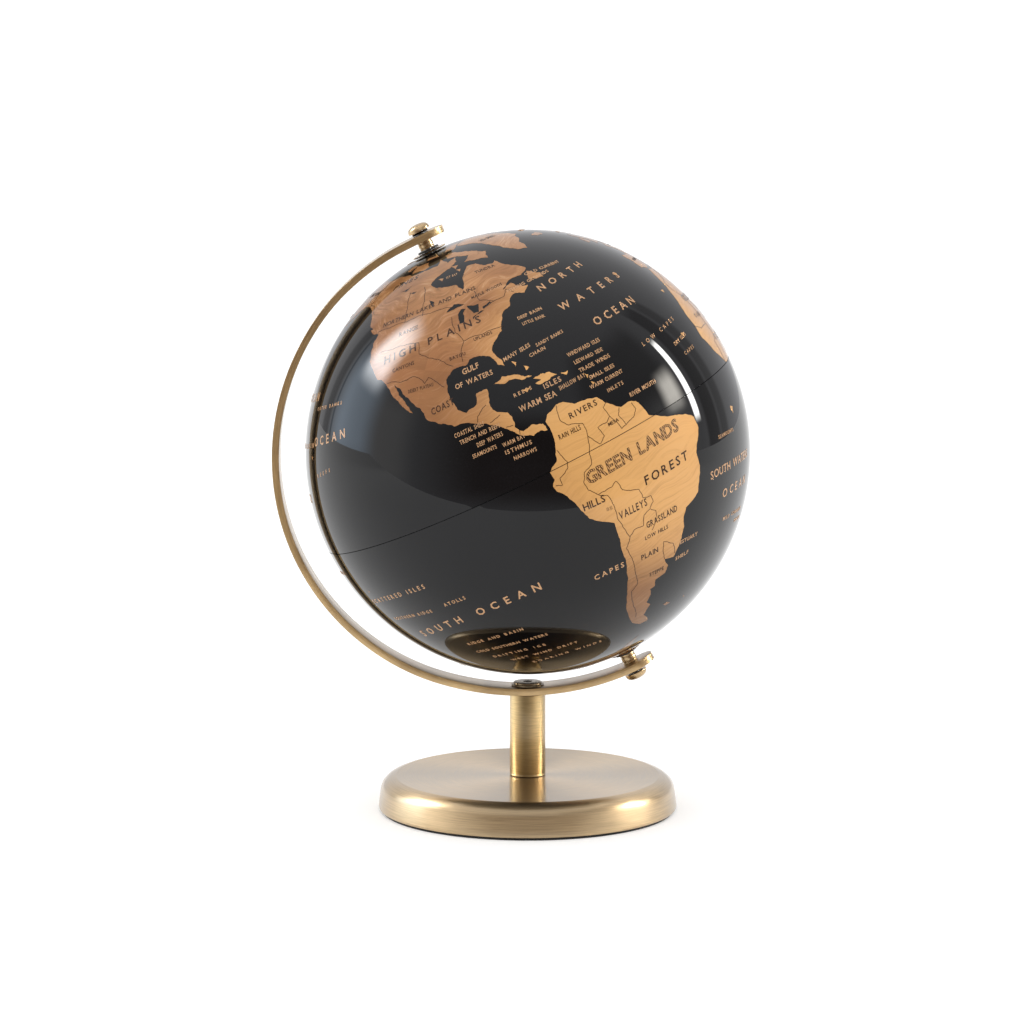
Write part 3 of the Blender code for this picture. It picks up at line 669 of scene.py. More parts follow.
def filled(outlines):
    """Directions and triangles that fill the outlines on the ball."""
    middle = Vector(np.mean([list(d) for d in outlines[0]], 0)).normalized()
    east = middle.orthogonal().normalized()
    north = middle.cross(east)
    to_flat = np.array([east, north, middle])

    def flattened(directions):
        local = np.array([list(d) for d in directions]) @ to_flat.T
        return 2 * local[:, :2] / (1 + local[:, 2:])

    loops = [flattened(outline) for outline in outlines]
    near = EVEN_POINTS[EVEN_POINTS @ np.array(middle) > -0.6]
    grid = flattened(near)
    grid = grid[inside(grid, loops)]
    points = np.concatenate(loops + [grid])
    edges = []
    start = 0
    for loop in loops:
        edges += [(start + i, start + (i + 1) % len(loop)) for i in range(len(loop))]
        start += len(loop)
    found = geometry.delaunay_2d_cdt([Vector(p) for p in points], edges, [], 0, 1e-7, False)
    corners = np.array([list(p) for p in found[0]])
    faces = [list(face) for face in found[2]]
    centres = np.array([corners[face].mean(0) for face in faces])
    kept = inside(centres, loops)
    square = (corners ** 2).sum(1, keepdims=True)
    local = np.concatenate([4 * corners, 4 - square], 1) / (4 + square)
    directions = [Vector(d).normalized() for d in local @ to_flat]
    return directions, [face for face, keep in zip(faces, kept) if keep]


def printed(name, patches, top, slot, material=None):
    """Thin closed piece on the ball, made of patches of (directions, faces)."""
    work = bmesh.new()
    for directions, faces in patches:
        verts = [work.verts.new(d * (BALL_RADIUS + top)) for d in directions]
        for face in faces:
            work.faces.new([verts[i] for i in face])
    for side in (-1, 1):           # cut along the seam between the two halves
        everything = work.verts[:] + work.edges[:] + work.faces[:]
        bmesh.ops.bisect_plane(work, geom=everything, dist=1e-7,
                               plane_co=AXIS * side * SEAM_GAP / 2, plane_no=AXIS)
    in_seam = [f for f in work.faces if abs(f.calc_center_median().dot(AXIS)) < SEAM_GAP / 2]
    bmesh.ops.delete(work, geom=in_seam, context="FACES")
    loose = [v for v in work.verts if not v.link_faces]
    bmesh.ops.delete(work, geom=loose, context="VERTS")
    for face in work.faces:
        if face.normal.length == 0:
            face.normal_update()
        if face.normal.dot(face.calc_center_median()) < 0:
            face.normal_flip()
    work.verts.index_update()
    upper = [v.co.copy() for v in work.verts]
    lower = [co.normalized() * (BALL_RADIUS - SUNK) for co in upper]
    count = len(upper)
    tops = [[v.index for v in face.verts] for face in work.faces]
    faces = tops + [[i + count for i in reversed(face)] for face in tops]
    for edge in work.edges:
        if edge.is_boundary:
            loop = edge.link_loops[0]
            a, b = loop.vert.index, loop.link_loop_next.vert.index
            faces.append([b, a, a + count, b + count])
    work.free()
    mesh = bpy.data.meshes.new(name)
    mesh.from_pydata([co + CENTRE for co in upper + lower], [], faces)
    normals = []
    for polygon in mesh.polygons:
        for index in polygon.vertices:
            is_top = polygon.index < len(tops)
            normals.append(upper[index].normalized() if is_top else polygon.normal)
    mesh.shade_smooth()
    mesh.normals_split_custom_set(normals)
    piece(name, mesh, slot, "ball", material=material)


def strip(line, width, closed=False):
    """Patch along a line of directions, as wide as a printed line."""
    ends = line[1:] + line[:1] if closed else line[1:]
    sides = []
    for i, here in enumerate(line):
        before = line[i - 1] if i or closed else here
        after = ends[i] if i < len(ends) else here
        across = here.cross(after - before).normalized() * (width / 2 / BALL_RADIUS)
        sides += [(here + across).normalized(), (here - across).normalized()]
    count = len(line)
    pairs = [(i, (i + 1) % count) for i in range(len(ends))]
    return sides, [[2 * a, 2 * a + 1, 2 * b + 1, 2 * b] for a, b in pairs]


def make_land():
    continents = (("south_america", SOUTH_AMERICA, (), 0.07),
                  ("north_america", NORTH_AMERICA, NORTHERN_LAKES, 0.11),
                  ("africa", AFRICA, AFRICAN_LAKES, 0.06),
                  ("eurasia", EURASIA, ASIAN_LAKES, 0.11),
                  ("australia", AUSTRALIA, (), 0.08),
                  ("antarctica", ANTARCTICA, (), 0.09),
                  ("greenland", GREENLAND, (), 0.12))
    for name, outline, lakes, roughness in continents:
        loops = [coast(outline, name, roughness)]
        loops += [coast(lake, f"{name}_lake_{i}") for i, lake in enumerate(lakes)]
        printed(f"land_{name}", [filled(loops)], LAND_TOP, "land_copper")
    islands = [filled([coast(outline, f"island_{i}", 0.14)]) for i, outline in enumerate(ISLANDS)]
    printed("land_islands", islands, LAND_TOP, "land_copper")


def make_borders():
    rng = random.Random("borders")
    patches = []
    for border in BORDERS:
        corners = [direction(*place) for place in border]
        line = []
        for a, b in zip(corners, corners[1:]):
            line += broken(a, b, rng, 0.07)
        patches.append(strip(line + corners[-1:], LINE_WIDTH))
    printed("border_lines", patches, LINE_TOP, "print_dark")


# ------------------------------------------------------------ lettering, all generic words
def labels(text):
    """Words, start, end and letter height in mm of "WORDS east,north east,north height; ..."."""
    rows = []
    for label in text.split(";"):
        *words, start, end, height = label.split()
        rows.append((" ".join(words), *path(start), *path(end), float(height)))
    return rows


SEA_LABELS = labels("""
    NORTH -59,42.4 -36,45.2 3.6; WATERS -57.5,34.4 -28,37.2 3.7; OCEAN -51,26.9 -33,28.8 3.9;
    SOUTH OCEAN -143,-35 -93,-31.3 3.9; OCEAN -153,22.2 -134,22.4 4; GULF -92,27.6 -87,28 2.6;
    OF WATERS -95,24.6 -84,25 2.3; LITTLE BANK -70.5,34.6 -63,34.6 1.6;
    DEEP BASIN -71,36.6 -62.5,37 1.6; MANY ISLES -80,27 -71.5,28.4 1.9;
    SANDY BANKS -70,27.6 -61,28.6 1.6; CHAIN -73,25.6 -68,26.2 1.6;
    WINDWARD ISLES -63.5,22 -52.8,22.8 1.8; LEEWARD SIDE -62.8,19.6 -53.6,20.2 1.7;
    TRADE WINDS -62.6,17.2 -52.7,18 1.8; SMALL ISLES -61,14.6 -53,15.3 1.7;
    WARM CURRENT -62,12.3 -51.6,13.2 1.7; INLETS -58,10 -53,10.5 1.6; ISLES -73,16.6 -68,17 2.3;
    WARM SEA -81,13.4 -70.7,14 2.6; SHALLOW BAY -69.5,14.9 -61.7,15.8 1.9; REEFS -81,17.4 -76,17.8 1.6;
    COASTAL SHELF -98.8,13 -90.5,13.6 1.9; TRENCH AND REEFS -98,11 -86.9,11.8 1.9;
    DEEP WATERS -94,9 -87,9.6 1.9; WARM BAY -88,6.8 -82,7.2 1.8; ISTHMUS -88,4.9 -81,5.2 1.8;
    NARROWS -86.5,2.9 -80.5,3.2 1.7; SEAMOUNTS -96,6.8 -89.5,7.2 1.7; LOW CAPES -41.5,17.2 -24,20.2 1.9;
    DRY ISLES -30.8,14 -23.5,15.4 1.7; CAPES -29,10.8 -23.5,11.6 1.6;
    RIVER MOUTH -52.8,6.8 -43.9,7.6 1.9; CAPES -77.6,-34.7 -67.8,-34 2.6;
    ESTUARY -47.5,-34.6 -40,-34.3 1.8; SHELF -49,-39 -43.4,-38.5 1.8;
    SCATTERED ISLES -152,-21.4 -124.6,-20.5 2.2; ATOLLS -123,-27.2 -115,-26.8 1.7;
    SOUTHERN RIDGE -148.4,-27.6 -128.7,-27.8 1.6; REEFS -152,14.2 -143.2,15 1.6;
    OUTER BANKS -153,31.4 -136,31.2 1.6; FISHING GROUNDS -69,46 -50,47.6 1.7;
    COLD CURRENT -59,49.4 -42,49.4 1.7; ICY BAY -90,60 -84,60 1.6;
    RIDGE AND BASIN -129.5,-42 -106,-42.4 1.7; COLD SOUTHERN WATERS -131,-46 -100,-47.4 1.7;
    DRIFTING ICE -128,-50 -104,-51.4 1.7; WEST WIND DRIFT -124,-54 -92,-55.4 1.7;
    ROARING WINDS -118,-58.4 -82,-59.6 1.7; SOUTH WATERS -34,-21 -8,-20.4 3.6;
    OCEAN -28,-27.4 -10,-27 3.9; SEAMOUNTS -28,-12 -19,-12 1.6; MILD CURRENT -26,-34 -10,-34 1.7;
    LONE ISLE -15,-36.6 -8,-36.6 1.6; INNER SEA 12.5,33.6 29,33.8 2.3; NORTH OCEAN 158,34 206,34 3.9;
    WIDE OCEAN 150,8 196,8 3.9; GREAT BASIN 180,22 206,22 2.2; CORAL SEA 150.5,-15 163,-15 2.2;
    EAST OCEAN 58,-26 100,-26 3.9; WARM OCEAN 62,-4 92,-4 3.6; GREAT BAY 84,13 92.5,13 2.2;
    GULF 60,18.5 68,18.5 2.5; SOUTH SEA 110,13 117.5,13 1.9; TRENCH 128,20 138,20 1.9;
    MANY ATOLLS 140,11 158,11 1.7; SANDY ISLES 165,-5 180,-5 1.7; REEF ISLES 184,-12 200,-12 1.7;
    COLD OCEAN 60,-52 112,-52 3.6; POLAR WATERS 20,-60 80,-60 2.5; GREAT BIGHT 124,-35.4 135,-35.4 2;
    STRAITS SEA 156,-38 168,-38 1.9; ROUGH SEA 176,-52 200,-52 2.2; NORTH SEA -1,61 5,61 1.6;
    COLD SEA -10,70 8,70 2.3; ICE SEA 30,75 52,75 2; FROZEN OCEAN 150,78 210,78 2.6;
    FOG SEA 176,58 192,58 2.2; FISHING SEA 144,56 153,55 1.9; INLAND SEA 131.5,39.6 137.5,41 1.6;
    STORM CAPE 12,-37.5 24,-37.5 1.9; CHANNEL 39,-18 42.5,-23 1.7; ISLES 52,-11 57,-11 1.7;
    PALM ISLES 71,4 78,2 1.6""")
LAND_LABELS = labels("""
    HIGH PLAINS -117.5,38.2 -81.8,40.2 3.8; NORTHERN LAKES AND PLAINS -121,50 -79,51.4 2.4;
    PINES -126,63.8 -108.8,65.6 3.2; COAST -103.2,20.4 -96.4,21.2 3; FOREST -56.8,-15 -41.9,-13.1 4;
    HILLS -74.7,-15.2 -68.6,-14.8 3.2; VALLEYS -66.2,-20.8 -57.6,-20 3.4;
    GRASSLAND -59,-26 -48.3,-24.8 2.9; PLAIN -62,-34.3 -56,-33.9 2.6;
    STEPPE -59.4,-40.5 -53.8,-40.2 1.9; RIVERS -70,7.4 -62,8.2 2.6; RAIN HILLS -74.4,3.6 -68.4,4.1 2.2;
    LOW HILLS -60,-29 -52,-28.4 1.8; MESA -61.5,2.2 -58.4,2.5 1.6; HIGH LAKES -69,-17.4 -67.4,-17.4 1.6;
    BAYOU -94.6,32.6 -89.6,32.6 1.6; UPLANDS -86,35.4 -80,35.6 1.6; CANYONS -114,35 -106,35.2 1.8;
    RANGE -112,45 -104,45.4 2.1; MAPLE WOODS -82,48.4 -69,49.4 1.6; TUNDRA -76,57.4 -66,57.4 2.1;
    DESERT PLATEAU -109,28 -101,27.6 1.6; SNOW RANGE -156,64.5 -142,64.5 2.4;
    ICE SHEET -52,74 -32,74 2.9; GREAT DESERT -7,23 26,23 3.7; SAVANNA -5,10.6 20,10.6 2.9;
    RAINFOREST 14,0 28,0 2.6; HIGHLANDS 34.5,9 44,9 2.1; BUSHVELD 19,-14 32,-14 2.6;
    DRY PLAINS 18,-22.6 31,-22.6 2.1; OASIS -10,18 -3,18 2.1; VINEYARDS -7,39.6 -1,40 1.6;
    MEADOWS 1,47.4 8,47.6 1.6; BIRCH WOODS 25,56 42,56 2.4; GREAT NORTHERN FOREST 56,61.5 128,61.5 4.2;
    WIDE STEPPE 52,48.6 84,48.6 2.9; COLD DESERT 90,40 112,40 2.9; HIGH PLATEAU 78,34 98,34 2.9;
    RIVER PLAINS 101,30.4 119,30.4 2.9; WARM PLAINS 73.4,24 86,24 2.4; TEAK WOODS 97.5,21 104,21 1.6;
    SAND SEA 44,22 55,21 2.4; SALT FLATS 50.5,33 60,33 1.8; FROST LAND 120,68 156,68 2.9;
    OUTBACK 120,-25 147,-25 4.5; RED DESERT 121,-20.6 134,-20.6 1.9;
    SHEEP HILLS 141.5,-31.4 150.5,-31.4 1.8; FROZEN LAND 20,-78 90,-78 3.8;
    ICE SHELF -150,-80 -100,-80 2.6; JUNGLE 110.4,0.6 116,0.6 1.6; PEAKS 136,-4.4 142,-5.4 1.6""")
SHADED_LABELS = labels("""
    GREEN LANDS -71.5,-9.3 -42.5,-5.4 5.4; OLD LANDS 4,16.4 34,16.4 5.4;
    GREAT LANDS 64,54.5 122,54.5 5.4""")
SPACE = 0.55                      # width of a space, in heights of a capital
LEAST_GAP = 0.12                  # least gap between two letters, in heights of a capital
SHADED_EDGE = 0.22 * MM           # width of the line round a hatched letter


def font_glyph(letter):
    """Flat points and faces of one capital, as Blender's own font draws it."""
    font = bpy.data.curves.new("glyph", "FONT")
    font.body = letter
    font.resolution_u = 2
    font.offset = 0.016
    mesh = evaluated(linked("glyph", font))
    points = np.array([list(vertex.co)[:2] for vertex in mesh.vertices])
    points[:, 0] -= points[:, 0].min()
    return points, [list(polygon.vertices) for polygon in mesh.polygons]


CAPITAL = font_glyph("H")[0][:, 1].max()
ALL_WORDS = "".join(label[0] for label in SEA_LABELS + LAND_LABELS + SHADED_LABELS)
GLYPHS = {letter: font_glyph(letter) for letter in sorted(set(ALL_WORDS) - {" "})}


def lettering(words, start, end, height):
    """Patches of a label's letters, spread evenly along its line on the ball."""
    length = direction(*start).angle(direction(*end)) * BALL_RADIUS
    scale = height * MM / CAPITAL
    widths = [SPACE * height * MM if letter == " " else GLYPHS[letter][0][:, 0].max() * scale
              for letter in words]
    least_gap = LEAST_GAP * height * MM
    squeeze = min(1, (length - least_gap * (len(words) - 1)) / sum(widths))
    widths = [width * squeeze for width in widths]
    gap = (length - sum(widths)) / (len(words) - 1)
    patches = []
    left = 0.0
    for letter, width in zip(words, widths):
        if letter != " ":
            points, faces = GLYPHS[letter]
            directions = []
            for x, y in points * (scale * squeeze, scale):
                along = (left + x) / length
                lon = start[0] + (end[0] - start[0]) * along
                lat = start[1] + (end[1] - start[1]) * along
                directions.append(direction(lon, lat + math.degrees(y / BALL_RADIUS)))
            patches.append((directions, faces))
        left += width + gap
    return patches


def outlined(patches, width):
    """Thin strips round the edges of letters, which leave them hollow."""
    strips = []
    for directions, faces in patches:
        uses = {}
        for face in faces:
            for a, b in zip(face, face[1:] + face[:1]):
                uses.setdefault(frozenset((a, b)), []).append((a, b))
        for ends in uses.values():
            if len(ends) == 1:
                strips.append(strip([directions[i] for i in ends[0]], width))
    return strips


def make_lettering():
    for name, labels, slot in (("sea_lettering", SEA_LABELS, "print_copper"),
                               ("land_lettering", LAND_LABELS, "print_dark")):
        for half, keep in (("north", lambda lat: lat >= 0), ("south", lambda lat: lat < 0)):
            patches = []
            for label in labels:
                if keep(label[1][1]):
                    patches += lettering(*label)
            printed(f"{name}_{half}", patches, LETTER_TOP, slot)
    fills = []
    strips = []
    for label in SHADED_LABELS:
        fills += lettering(*label)
        strips += outlined(lettering(*label), SHADED_EDGE)
    printed("shaded_lettering", fills, (LINE_TOP + LETTER_TOP) / 2, "print_dark", "hatched")
    printed("shaded_outlines", strips, LETTER_TOP, "print_dark")


# ------------------------------------------------------------ the ball and its pole pieces
WALL = 2 * MM
AXLE_HOLE = 2.2 * MM
FINE_TURN = 192                   # steps in a turn of the large round pieces


def make_ball():
    """Two smooth shells that meet in a fine seam on the ball's own equator."""
    hole = math.degrees(math.asin(axis_radius("north_bushing") * 0.5 / BALL_RADIUS))
    seam = math.degrees(SEAM_GAP / 2 / BALL_RADIUS)
    outside = arc(BALL_RADIUS, 90 - hole, seam, 72)
    inside_wall = arc(BALL_RADIUS - WALL, seam, 90 - hole, 24)
    for pole, sign in (("north", 1), ("south", -1)):
        profile = [(radius, sign * height) for radius, height in outside + inside_wall]
        mesh = turned(f"{pole}_half", profile, FINE_TURN)
        mesh.transform(AXIS_FRAME)
        piece(f"{pole}_half", mesh, "ball_gloss", "ball", [f"{pole}_shell"])


def disc_profile(radius, low, high):
    """Pressed disc: a raised middle, a shallow groove and a rolled rim."""
    thick = high - low
    return [(AXLE_HOLE, high), (radius * 0.62, high), (radius * 0.68, high - 0.4 * thick),
            (radius * 0.84, high - 0.4 * thick), (radius * 0.90, high - 0.1 * thick),
            (radius * 0.97, high - 0.1 * thick), (radius, high - 0.5 * thick),
            (radius * 0.98, low), (AXLE_HOLE, low)]


def washer_profile(radius, low, high):
    return ring(AXLE_HOLE, radius, low, high)


def spacer_profile(radius, low, high):
    """Short sleeve with two turned grooves near its ends."""
    long = high - low
    groove = radius * 0.93
    stops = ((0.0, radius), (0.14, radius), (0.18, groove), (0.26, groove), (0.30, radius),
             (0.70, radius), (0.74, groove), (0.82, groove), (0.86, radius), (1.0, radius))
    side = [(at, high - share * long) for share, at in stops]
    return [(AXLE_HOLE, high), *side, (AXLE_HOLE, low)]


def dome_nut_profile(radius, low, high):
    """Domed nut: a low collar under a full, nearly round crown."""
    collar = low + 0.12 * (high - low)
    crown = [(0.98 * radius * math.sin(math.radians(a)) ** 0.9,
              collar + (high - collar) * math.cos(math.radians(a)) ** 0.8)
             for a in range(2, 87, 6)]
    return [(0.02 * radius, high), *crown, (radius, collar), (radius, low),
            (AXLE_HOLE, low), (AXLE_HOLE, low + 0.5 * (high - low)),
            (0.02 * radius, low + 0.5 * (high - low))]


PIN_PIECES = (("pole_disc", "pin_brass", "disc_brass", "ball", disc_profile, 0.0),
              ("washer", "black_nylon", "black_nylon", "stand", washer_profile, 0.2 * MM),
              ("spacer", "pin_brass", "pin_brass", "stand", spacer_profile, 0.08 * MM),
              ("head_washer", "dark_washer", "dark_washer", "stand", washer_profile, 0.2 * MM),
              ("dome_nut", "pin_brass", "pin_brass", "stand", dome_nut_profile, 0.1 * MM))


def make_pin_pieces():
    for pole, sign in (("north", 1), ("south", -1)):
        for kind, slot, look, body, profile_of, bevel in PIN_PIECES:
            node = f"{pole}_{kind}"
            low, high = sorted(abs(h) for h in along_axis(node))
            profile = [(radius, sign * height)
                       for radius, height in profile_of(axis_radius(node), low, high)]
            mesh = turned(f"{node}_fine", profile, 72, bevel)
            piece(f"{node}_fine", mesh, slot, body, [node], AXIS_FRAME, look)


# ------------------------------------------------------------ the stand
POST_WALL = 1.25 * MM
BASE_WALL = 1.5 * MM
ARM_STEP = 2.0                    # degrees between two bends of the bar
ARM_KNOTS = 24                    # steps between the places where the CAD bar is measured
ARM_PAST_AXIS = math.radians(5.5)  # how far the bar goes on past each pole
HUB_RADIUS = 30 * MM              # the base's top is flat at least this far from the post
SOCKET_RADIUS = 2.3 * MM
SOCKET_DEPTH = 1.0 * MM


def make_base():
    """Spun brass cover with a rolled shoulder and a slightly flared side, on a black pad."""
    shoulder = outer_rings("base_shell", POST_HIGH.x + HUB_RADIUS)
    top, bottom = shoulder[0], shoulder[-1]
    shoulder = through([(top[0] - 0.9 * MM, top[1]), *shoulder], 6)
    hole = POST_HIGH.x * 0.45
    lining = [(bottom[0] - BASE_WALL, bottom[1]), (top[0] + 2.5 * MM, 0.82 * top[1]),
              (top[0] - 1.5 * MM, top[1] - BASE_WALL)]
    profile = [(hole, top[1]), *shoulder, *lining, (hole, top[1] - BASE_WALL)]
    cover = turned("base_cover", profile, FINE_TURN)
    piece("base_cover", cover, "base_brass", "stand", ["base_shell"])
    pad = turned("base_pad_fine", ring(PAD_HIGH.x * 0.15, PAD_HIGH.x, PAD_LOW.z, PAD_HIGH.z), 128,
                 0.3 * MM)
    piece("base_pad_fine", pad, "base_pad", "stand", ["base_pad"])


def make_post():
    """Brass tube with softened ends and a thin foot collar line."""
    outer = POST_HIGH.x
    low, high = POST_LOW.z, POST_HIGH.z
    line = 0.12 * MM
    profile = [(outer - POST_WALL, high), (outer, high), (outer, low + 9 * line),
               (outer - line, low + 7 * line), (outer, low + 5 * line), (outer, low),
               (outer - POST_WALL, low)]
    piece("post", turned("post", profile, 128, 0.1 * MM), "post_brass", "stand", ["post_tube"])


def arm_reach(angle):
    """Distance from the ball's centre to the bar's inner and outer face, from the CAD bar."""
    bar = frame["nodes"]["meridian_arm"]
    beside_holes = Vector((0, 0.35 * ARM_HALF_WIDTH + 3.0 * MM, 0))
    heading = Vector((math.cos(angle), 0, math.sin(angle)))
    reaches = []
    for start, way in ((0.0, heading), (2 * BALL_RADIUS, -heading)):
        origin = CENTRE + beside_holes + heading * start
        hit, place = bar.ray_cast(origin, way)[:2]
        if not hit:
            return None
        reaches.append((place - CENTRE - beside_holes).dot(heading))
    return reaches


def bar_reaches(start, end):
    """Reaches of the bar's inner and outer face, at even steps from one tip to the other."""
    found = [arm_reach(start + (end - start) * i / ARM_KNOTS) for i in range(ARM_KNOTS + 1)]
    known = [reach for reach in found if reach]
    whole = [reach or known[0 if i < ARM_KNOTS / 2 else -1] for i, reach in enumerate(found)]
    return through(whole, 12)


def bar_angles(start, end, round_end):
    """Angles of the bar's cross sections, closer together at its half-round ends."""
    tips = [round_end * (1 - math.cos(math.radians(a))) for a in range(0, 91, 6)]
    first, last = start + round_end, end - round_end
    count = round(math.degrees(end - start) / ARM_STEP) - 8
    between = [first + (last - first) * i / count for i in range(1, count)]
    return [start + tip for tip in tips] + between + [end - tip for tip in reversed(tips)]


def make_arm():
    """Bent flat bar with softened edges and half-round ends."""
    start = math.pi / 2 + TILT - ARM_PAST_AXIS
    end = 3 * math.pi / 2 + TILT + ARM_PAST_AXIS
    round_end = ARM_HALF_WIDTH / BALL_RADIUS / 1.1
    reaches = bar_reaches(start, end)
    angles = bar_angles(start, end, round_end)
    verts = []
    for angle in angles:
        at = (angle - start) / (end - start) * (len(reaches) - 1)
        i = min(int(at), len(reaches) - 2)
        share = at - i
        inner, outer = (a + (b - a) * share for a, b in zip(reaches[i], reaches[i + 1]))
        from_tip = min(angle - start, end - angle) / round_end
        width = ARM_HALF_WIDTH * math.sqrt(max(1 - max(1 - from_tip, 0) ** 2, 0.0009))
        way = Vector((math.cos(angle), 0, math.sin(angle)))
        for reach, side in ((outer, -width), (outer, width), (inner, width), (inner, -width)):
            verts.append(CENTRE + way * reach + Vector((0, side, 0)))
    faces = [[4 * i + k, 4 * i + (k + 1) % 4, 4 * i + 4 + (k + 1) % 4, 4 * i + 4 + k]
             for i in range(len(angles) - 1) for k in range(4)]
    last_ring = 4 * (len(angles) - 1)
    faces += [[3, 2, 1, 0], [last_ring + k for k in range(4)]]
    mesh = bpy.data.meshes.new("arm")
    mesh.from_pydata(verts, [], faces)
    obj = linked("arm", mesh)
    rounding(obj, 0.45 * MM, 3, 50)
    piece("arm", smoothed(evaluated(obj), 50), "arm_brass", "stand", ["meridian_arm"])


def make_arm_screw():
    """Flat screw head with a rim, a bevelled top and a hexagon socket."""
    radius, low, high = SCREW_HIGH.x, SCREW_LOW.z, SCREW_HIGH.z
    head = high - 1.5 * MM
    top = 0.86 * radius
    shank = 2.9 * MM
    profile = [(0.02 * MM, high), (top * 0.93, high), (top, high - 0.15 * MM),
               (top + 0.1 * MM, head + 0.55 * MM), (radius, head + 0.4 * MM), (radius, head),
               (shank, head), (shank, low), (0.02 * MM, low)]
    blank = linked("arm_screw_fine", turned("arm_screw_fine", profile, 96))
    work = bmesh.new()
    bmesh.ops.create_cone(work, cap_ends=True, segments=6, radius1=SOCKET_RADIUS,
                          radius2=SOCKET_RADIUS, depth=2 * SOCKET_DEPTH)
    hexagon = bpy.data.meshes.new("socket")
    work.to_mesh(hexagon)
    work.free()
    cutter = linked("socket", hexagon)
    cutter.location.z = high
    cut = blank.modifiers.new("socket", "BOOLEAN")
    cut.object = cutter
    bpy.context.view_layer.update()
    mesh = evaluated(blank)
    bpy.data.objects.remove(cutter)
    piece("arm_screw_fine", smoothed(mesh, 30), "dark_screw", "stand", ["arm_screw"])


def paint_kept_nodes():
    """Better materials on the CAD nodes that stay, by their slot in the record."""
    slots = {row["node"]: row["material_slot"] for row in RECORD["subparts"]}
    for name, node in frame["nodes"].items():
        node.data.materials.clear()
        node.data.materials.append(MATERIALS[slots[name]])


# ------------------------------------------------------------ studio
CAMERA_PLACE = (-0.0071, -1.8359, 0.4017)
CAMERA_DOWN = math.radians(8.22)
CAMERA_LENS = 144.6
TABLE_FRONT = -0.46               # the table ends here, in front of the camera's view
TABLE_GLOW = 0.12                 # a lit table top, so that the shadow on it stays faint


def make_camera():
    camera = bpy.data.cameras.new("camera")
    camera.lens = CAMERA_LENS
    camera.sensor_width = 36
    camera.clip_start = 0.05
    camera.clip_end = 60
    obj = linked("camera", camera)
    obj.location = CAMERA_PLACE
    obj.rotation_euler = (math.radians(90) - CAMERA_DOWN, 0, 0)
    bpy.context.scene.camera = obj


def make_table():
    """Wide pale table top."""
    mesh = bpy.data.meshes.new("table")
    far = 20.0
    mesh.from_pydata([(-far, TABLE_FRONT, 0), (far, TABLE_FRONT, 0), (far, far, 0),
                      (-far, far, 0)], [], [[0, 1, 2, 3]])
    tree, shader = new_material("table_pale")
    cloud = noise(tree, position(tree), 3.0)
    surface(tree, shader, Base_Color=blend(tree, cloud, (0.90, 0.90, 0.90), (0.92, 0.92, 0.92)),
            Roughness=0.9, Specular_IOR_Level=0.0, Emission_Color=(1, 1, 1, 1),
            Emission_Strength=TABLE_GLOW)
    mesh.materials.append(MATERIALS["table_pale"])
    linked("table", mesh)


# Soft-edged patches of the studio's surroundings, as the gloss sees them. Azimuth 0 is in
# front of the globe, positive to its right; both angles in degrees: middle, half size, edge.
DARK_PATCHES = (                  # colour, how much of it, middle, half size, edge
    ((0.24, 0.18, 0.15), 1.0, (2, 2), (24, 12), (46, 18)),
    ((0.20, 0.20, 0.20), 0.5, (-131, 5), (2, 30), (3, 12)),
    ((0.10, 0.10, 0.10), 0.7, (-124.5, 8), (0.4, 16), (0.8, 8)),
    ((0.20, 0.19, 0.18), 0.7, (113, 14), (4, 34), (3, 10)),
    ((0.20, 0.19, 0.18), 0.5, (124, 10), (2, 34), (4, 10)),
    ((0.30, 0.28, 0.26), 0.6, (62, 38), (24, 10), (14, 12)))
BRIGHT_PATCHES = (                # light, colour, middle, half size, edge
    (17.0, (0.94, 0.97, 1.0), (-104, 35), (4, 5), (11, 12)),
    (2.4, (0.62, 0.80, 1.0), (-106, 12), (7, 8), (16, 18)),
    (0.5, (1.0, 0.96, 0.88), (-78, 6), (4, 10), (16, 14)),
    (0.5, (1.0, 0.96, 0.88), (84, 6), (4, 10), (14, 14)),
    (14.0, (1.0, 0.95, 0.86), (89, 24), (2, 2), (8, 8)),
    (40.0, (1.0, 0.99, 0.96), (101.6, 25), (1.5, 12), (1.2, 5)))


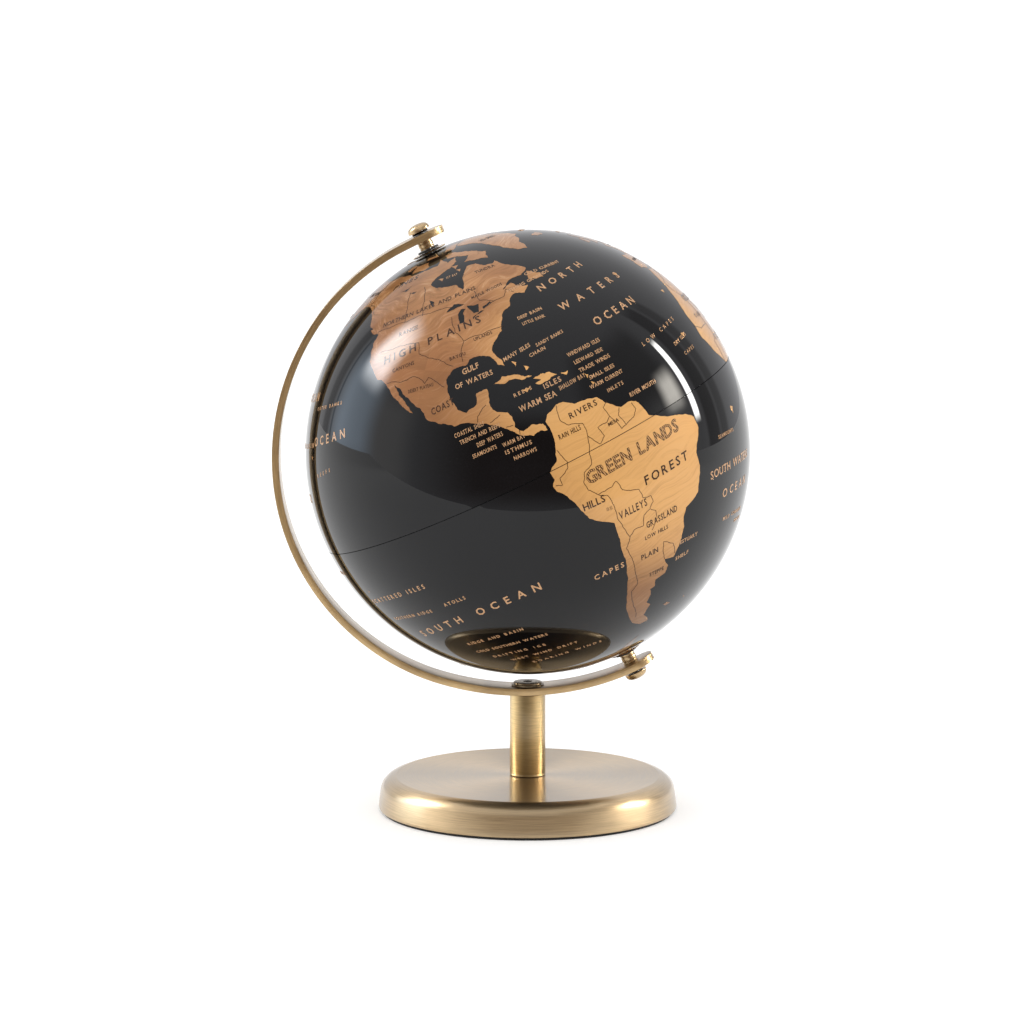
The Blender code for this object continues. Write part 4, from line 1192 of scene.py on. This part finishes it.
def make_world():
    """White surroundings with soft patches for the gloss; the camera sees plain white."""
    world = bpy.data.worlds.new("studio")
    bpy.context.scene.world = world
    world.use_nodes = True
    tree = world.node_tree
    x, y, z = split(tree, add(tree, "ShaderNodeTexCoord", {}, 0))
    azimuth = maths(tree, "ARCTAN2", x, times(tree, y, -1.0))
    elevation = maths(tree, "ARCSINE", z)

    def patch(middle, half, edge):
        inside_it = 1.0
        for value, m, h, e in zip((azimuth, elevation), middle, half, edge):
            away = maths(tree, "ABSOLUTE", maths(tree, "SUBTRACT", value, math.radians(m)))
            near = remap(tree, away, math.radians(h), math.radians(h + e), 1.0, 0.0, "SMOOTHSTEP")
            inside_it = times(tree, inside_it, near)
        return inside_it

    light = blend(tree, remap(tree, elevation, 0.6, 1.4, 0.0, 1.0), (0.9, 0.9, 0.92),
                  (1.25, 1.25, 1.27))
    for colour, much, *place in DARK_PATCHES:
        light = blend(tree, times(tree, patch(*place), much), light, colour)
    for strength, colour, *place in BRIGHT_PATCHES:
        glow = tuple(strength * c for c in colour)
        light = blend(tree, patch(*place), light, glow, "ADD")
    rays = tree.nodes.new("ShaderNodeLightPath")
    seen = blend(tree, rays.outputs["Is Glossy Ray"], (1.22, 1.22, 1.22), light)
    background = tree.nodes["Background"]
    put(tree, background.inputs["Color"], seen)
    background.inputs["Strength"].default_value = 1.0


def area_light(name, place, size, power):
    light = bpy.data.lights.new(name, "AREA")
    light.shape = "RECTANGLE"
    light.size, light.size_y = size
    light.energy = power
    light.use_shadow = False
    obj = linked(name, light)
    obj.location = place
    obj.rotation_euler = (CENTRE - Vector(place)).to_track_quat("-Z", "Y").to_euler()
    obj.visible_glossy = False


def make_lights():
    area_light("left_softbox", (-1.4, -0.7, 1.0), (0.9, 0.9), 7)
    area_light("right_softbox", (1.5, -0.3, 0.8), (0.5, 0.9), 3)


bpy.context.scene.view_settings.view_transform = "Standard"
make_camera()
make_table()
make_world()
make_lights()
paint_kept_nodes()
make_ball()
make_land()
make_borders()
make_lettering()
make_pin_pieces()
make_base()
make_post()
make_arm()
make_arm_screw()
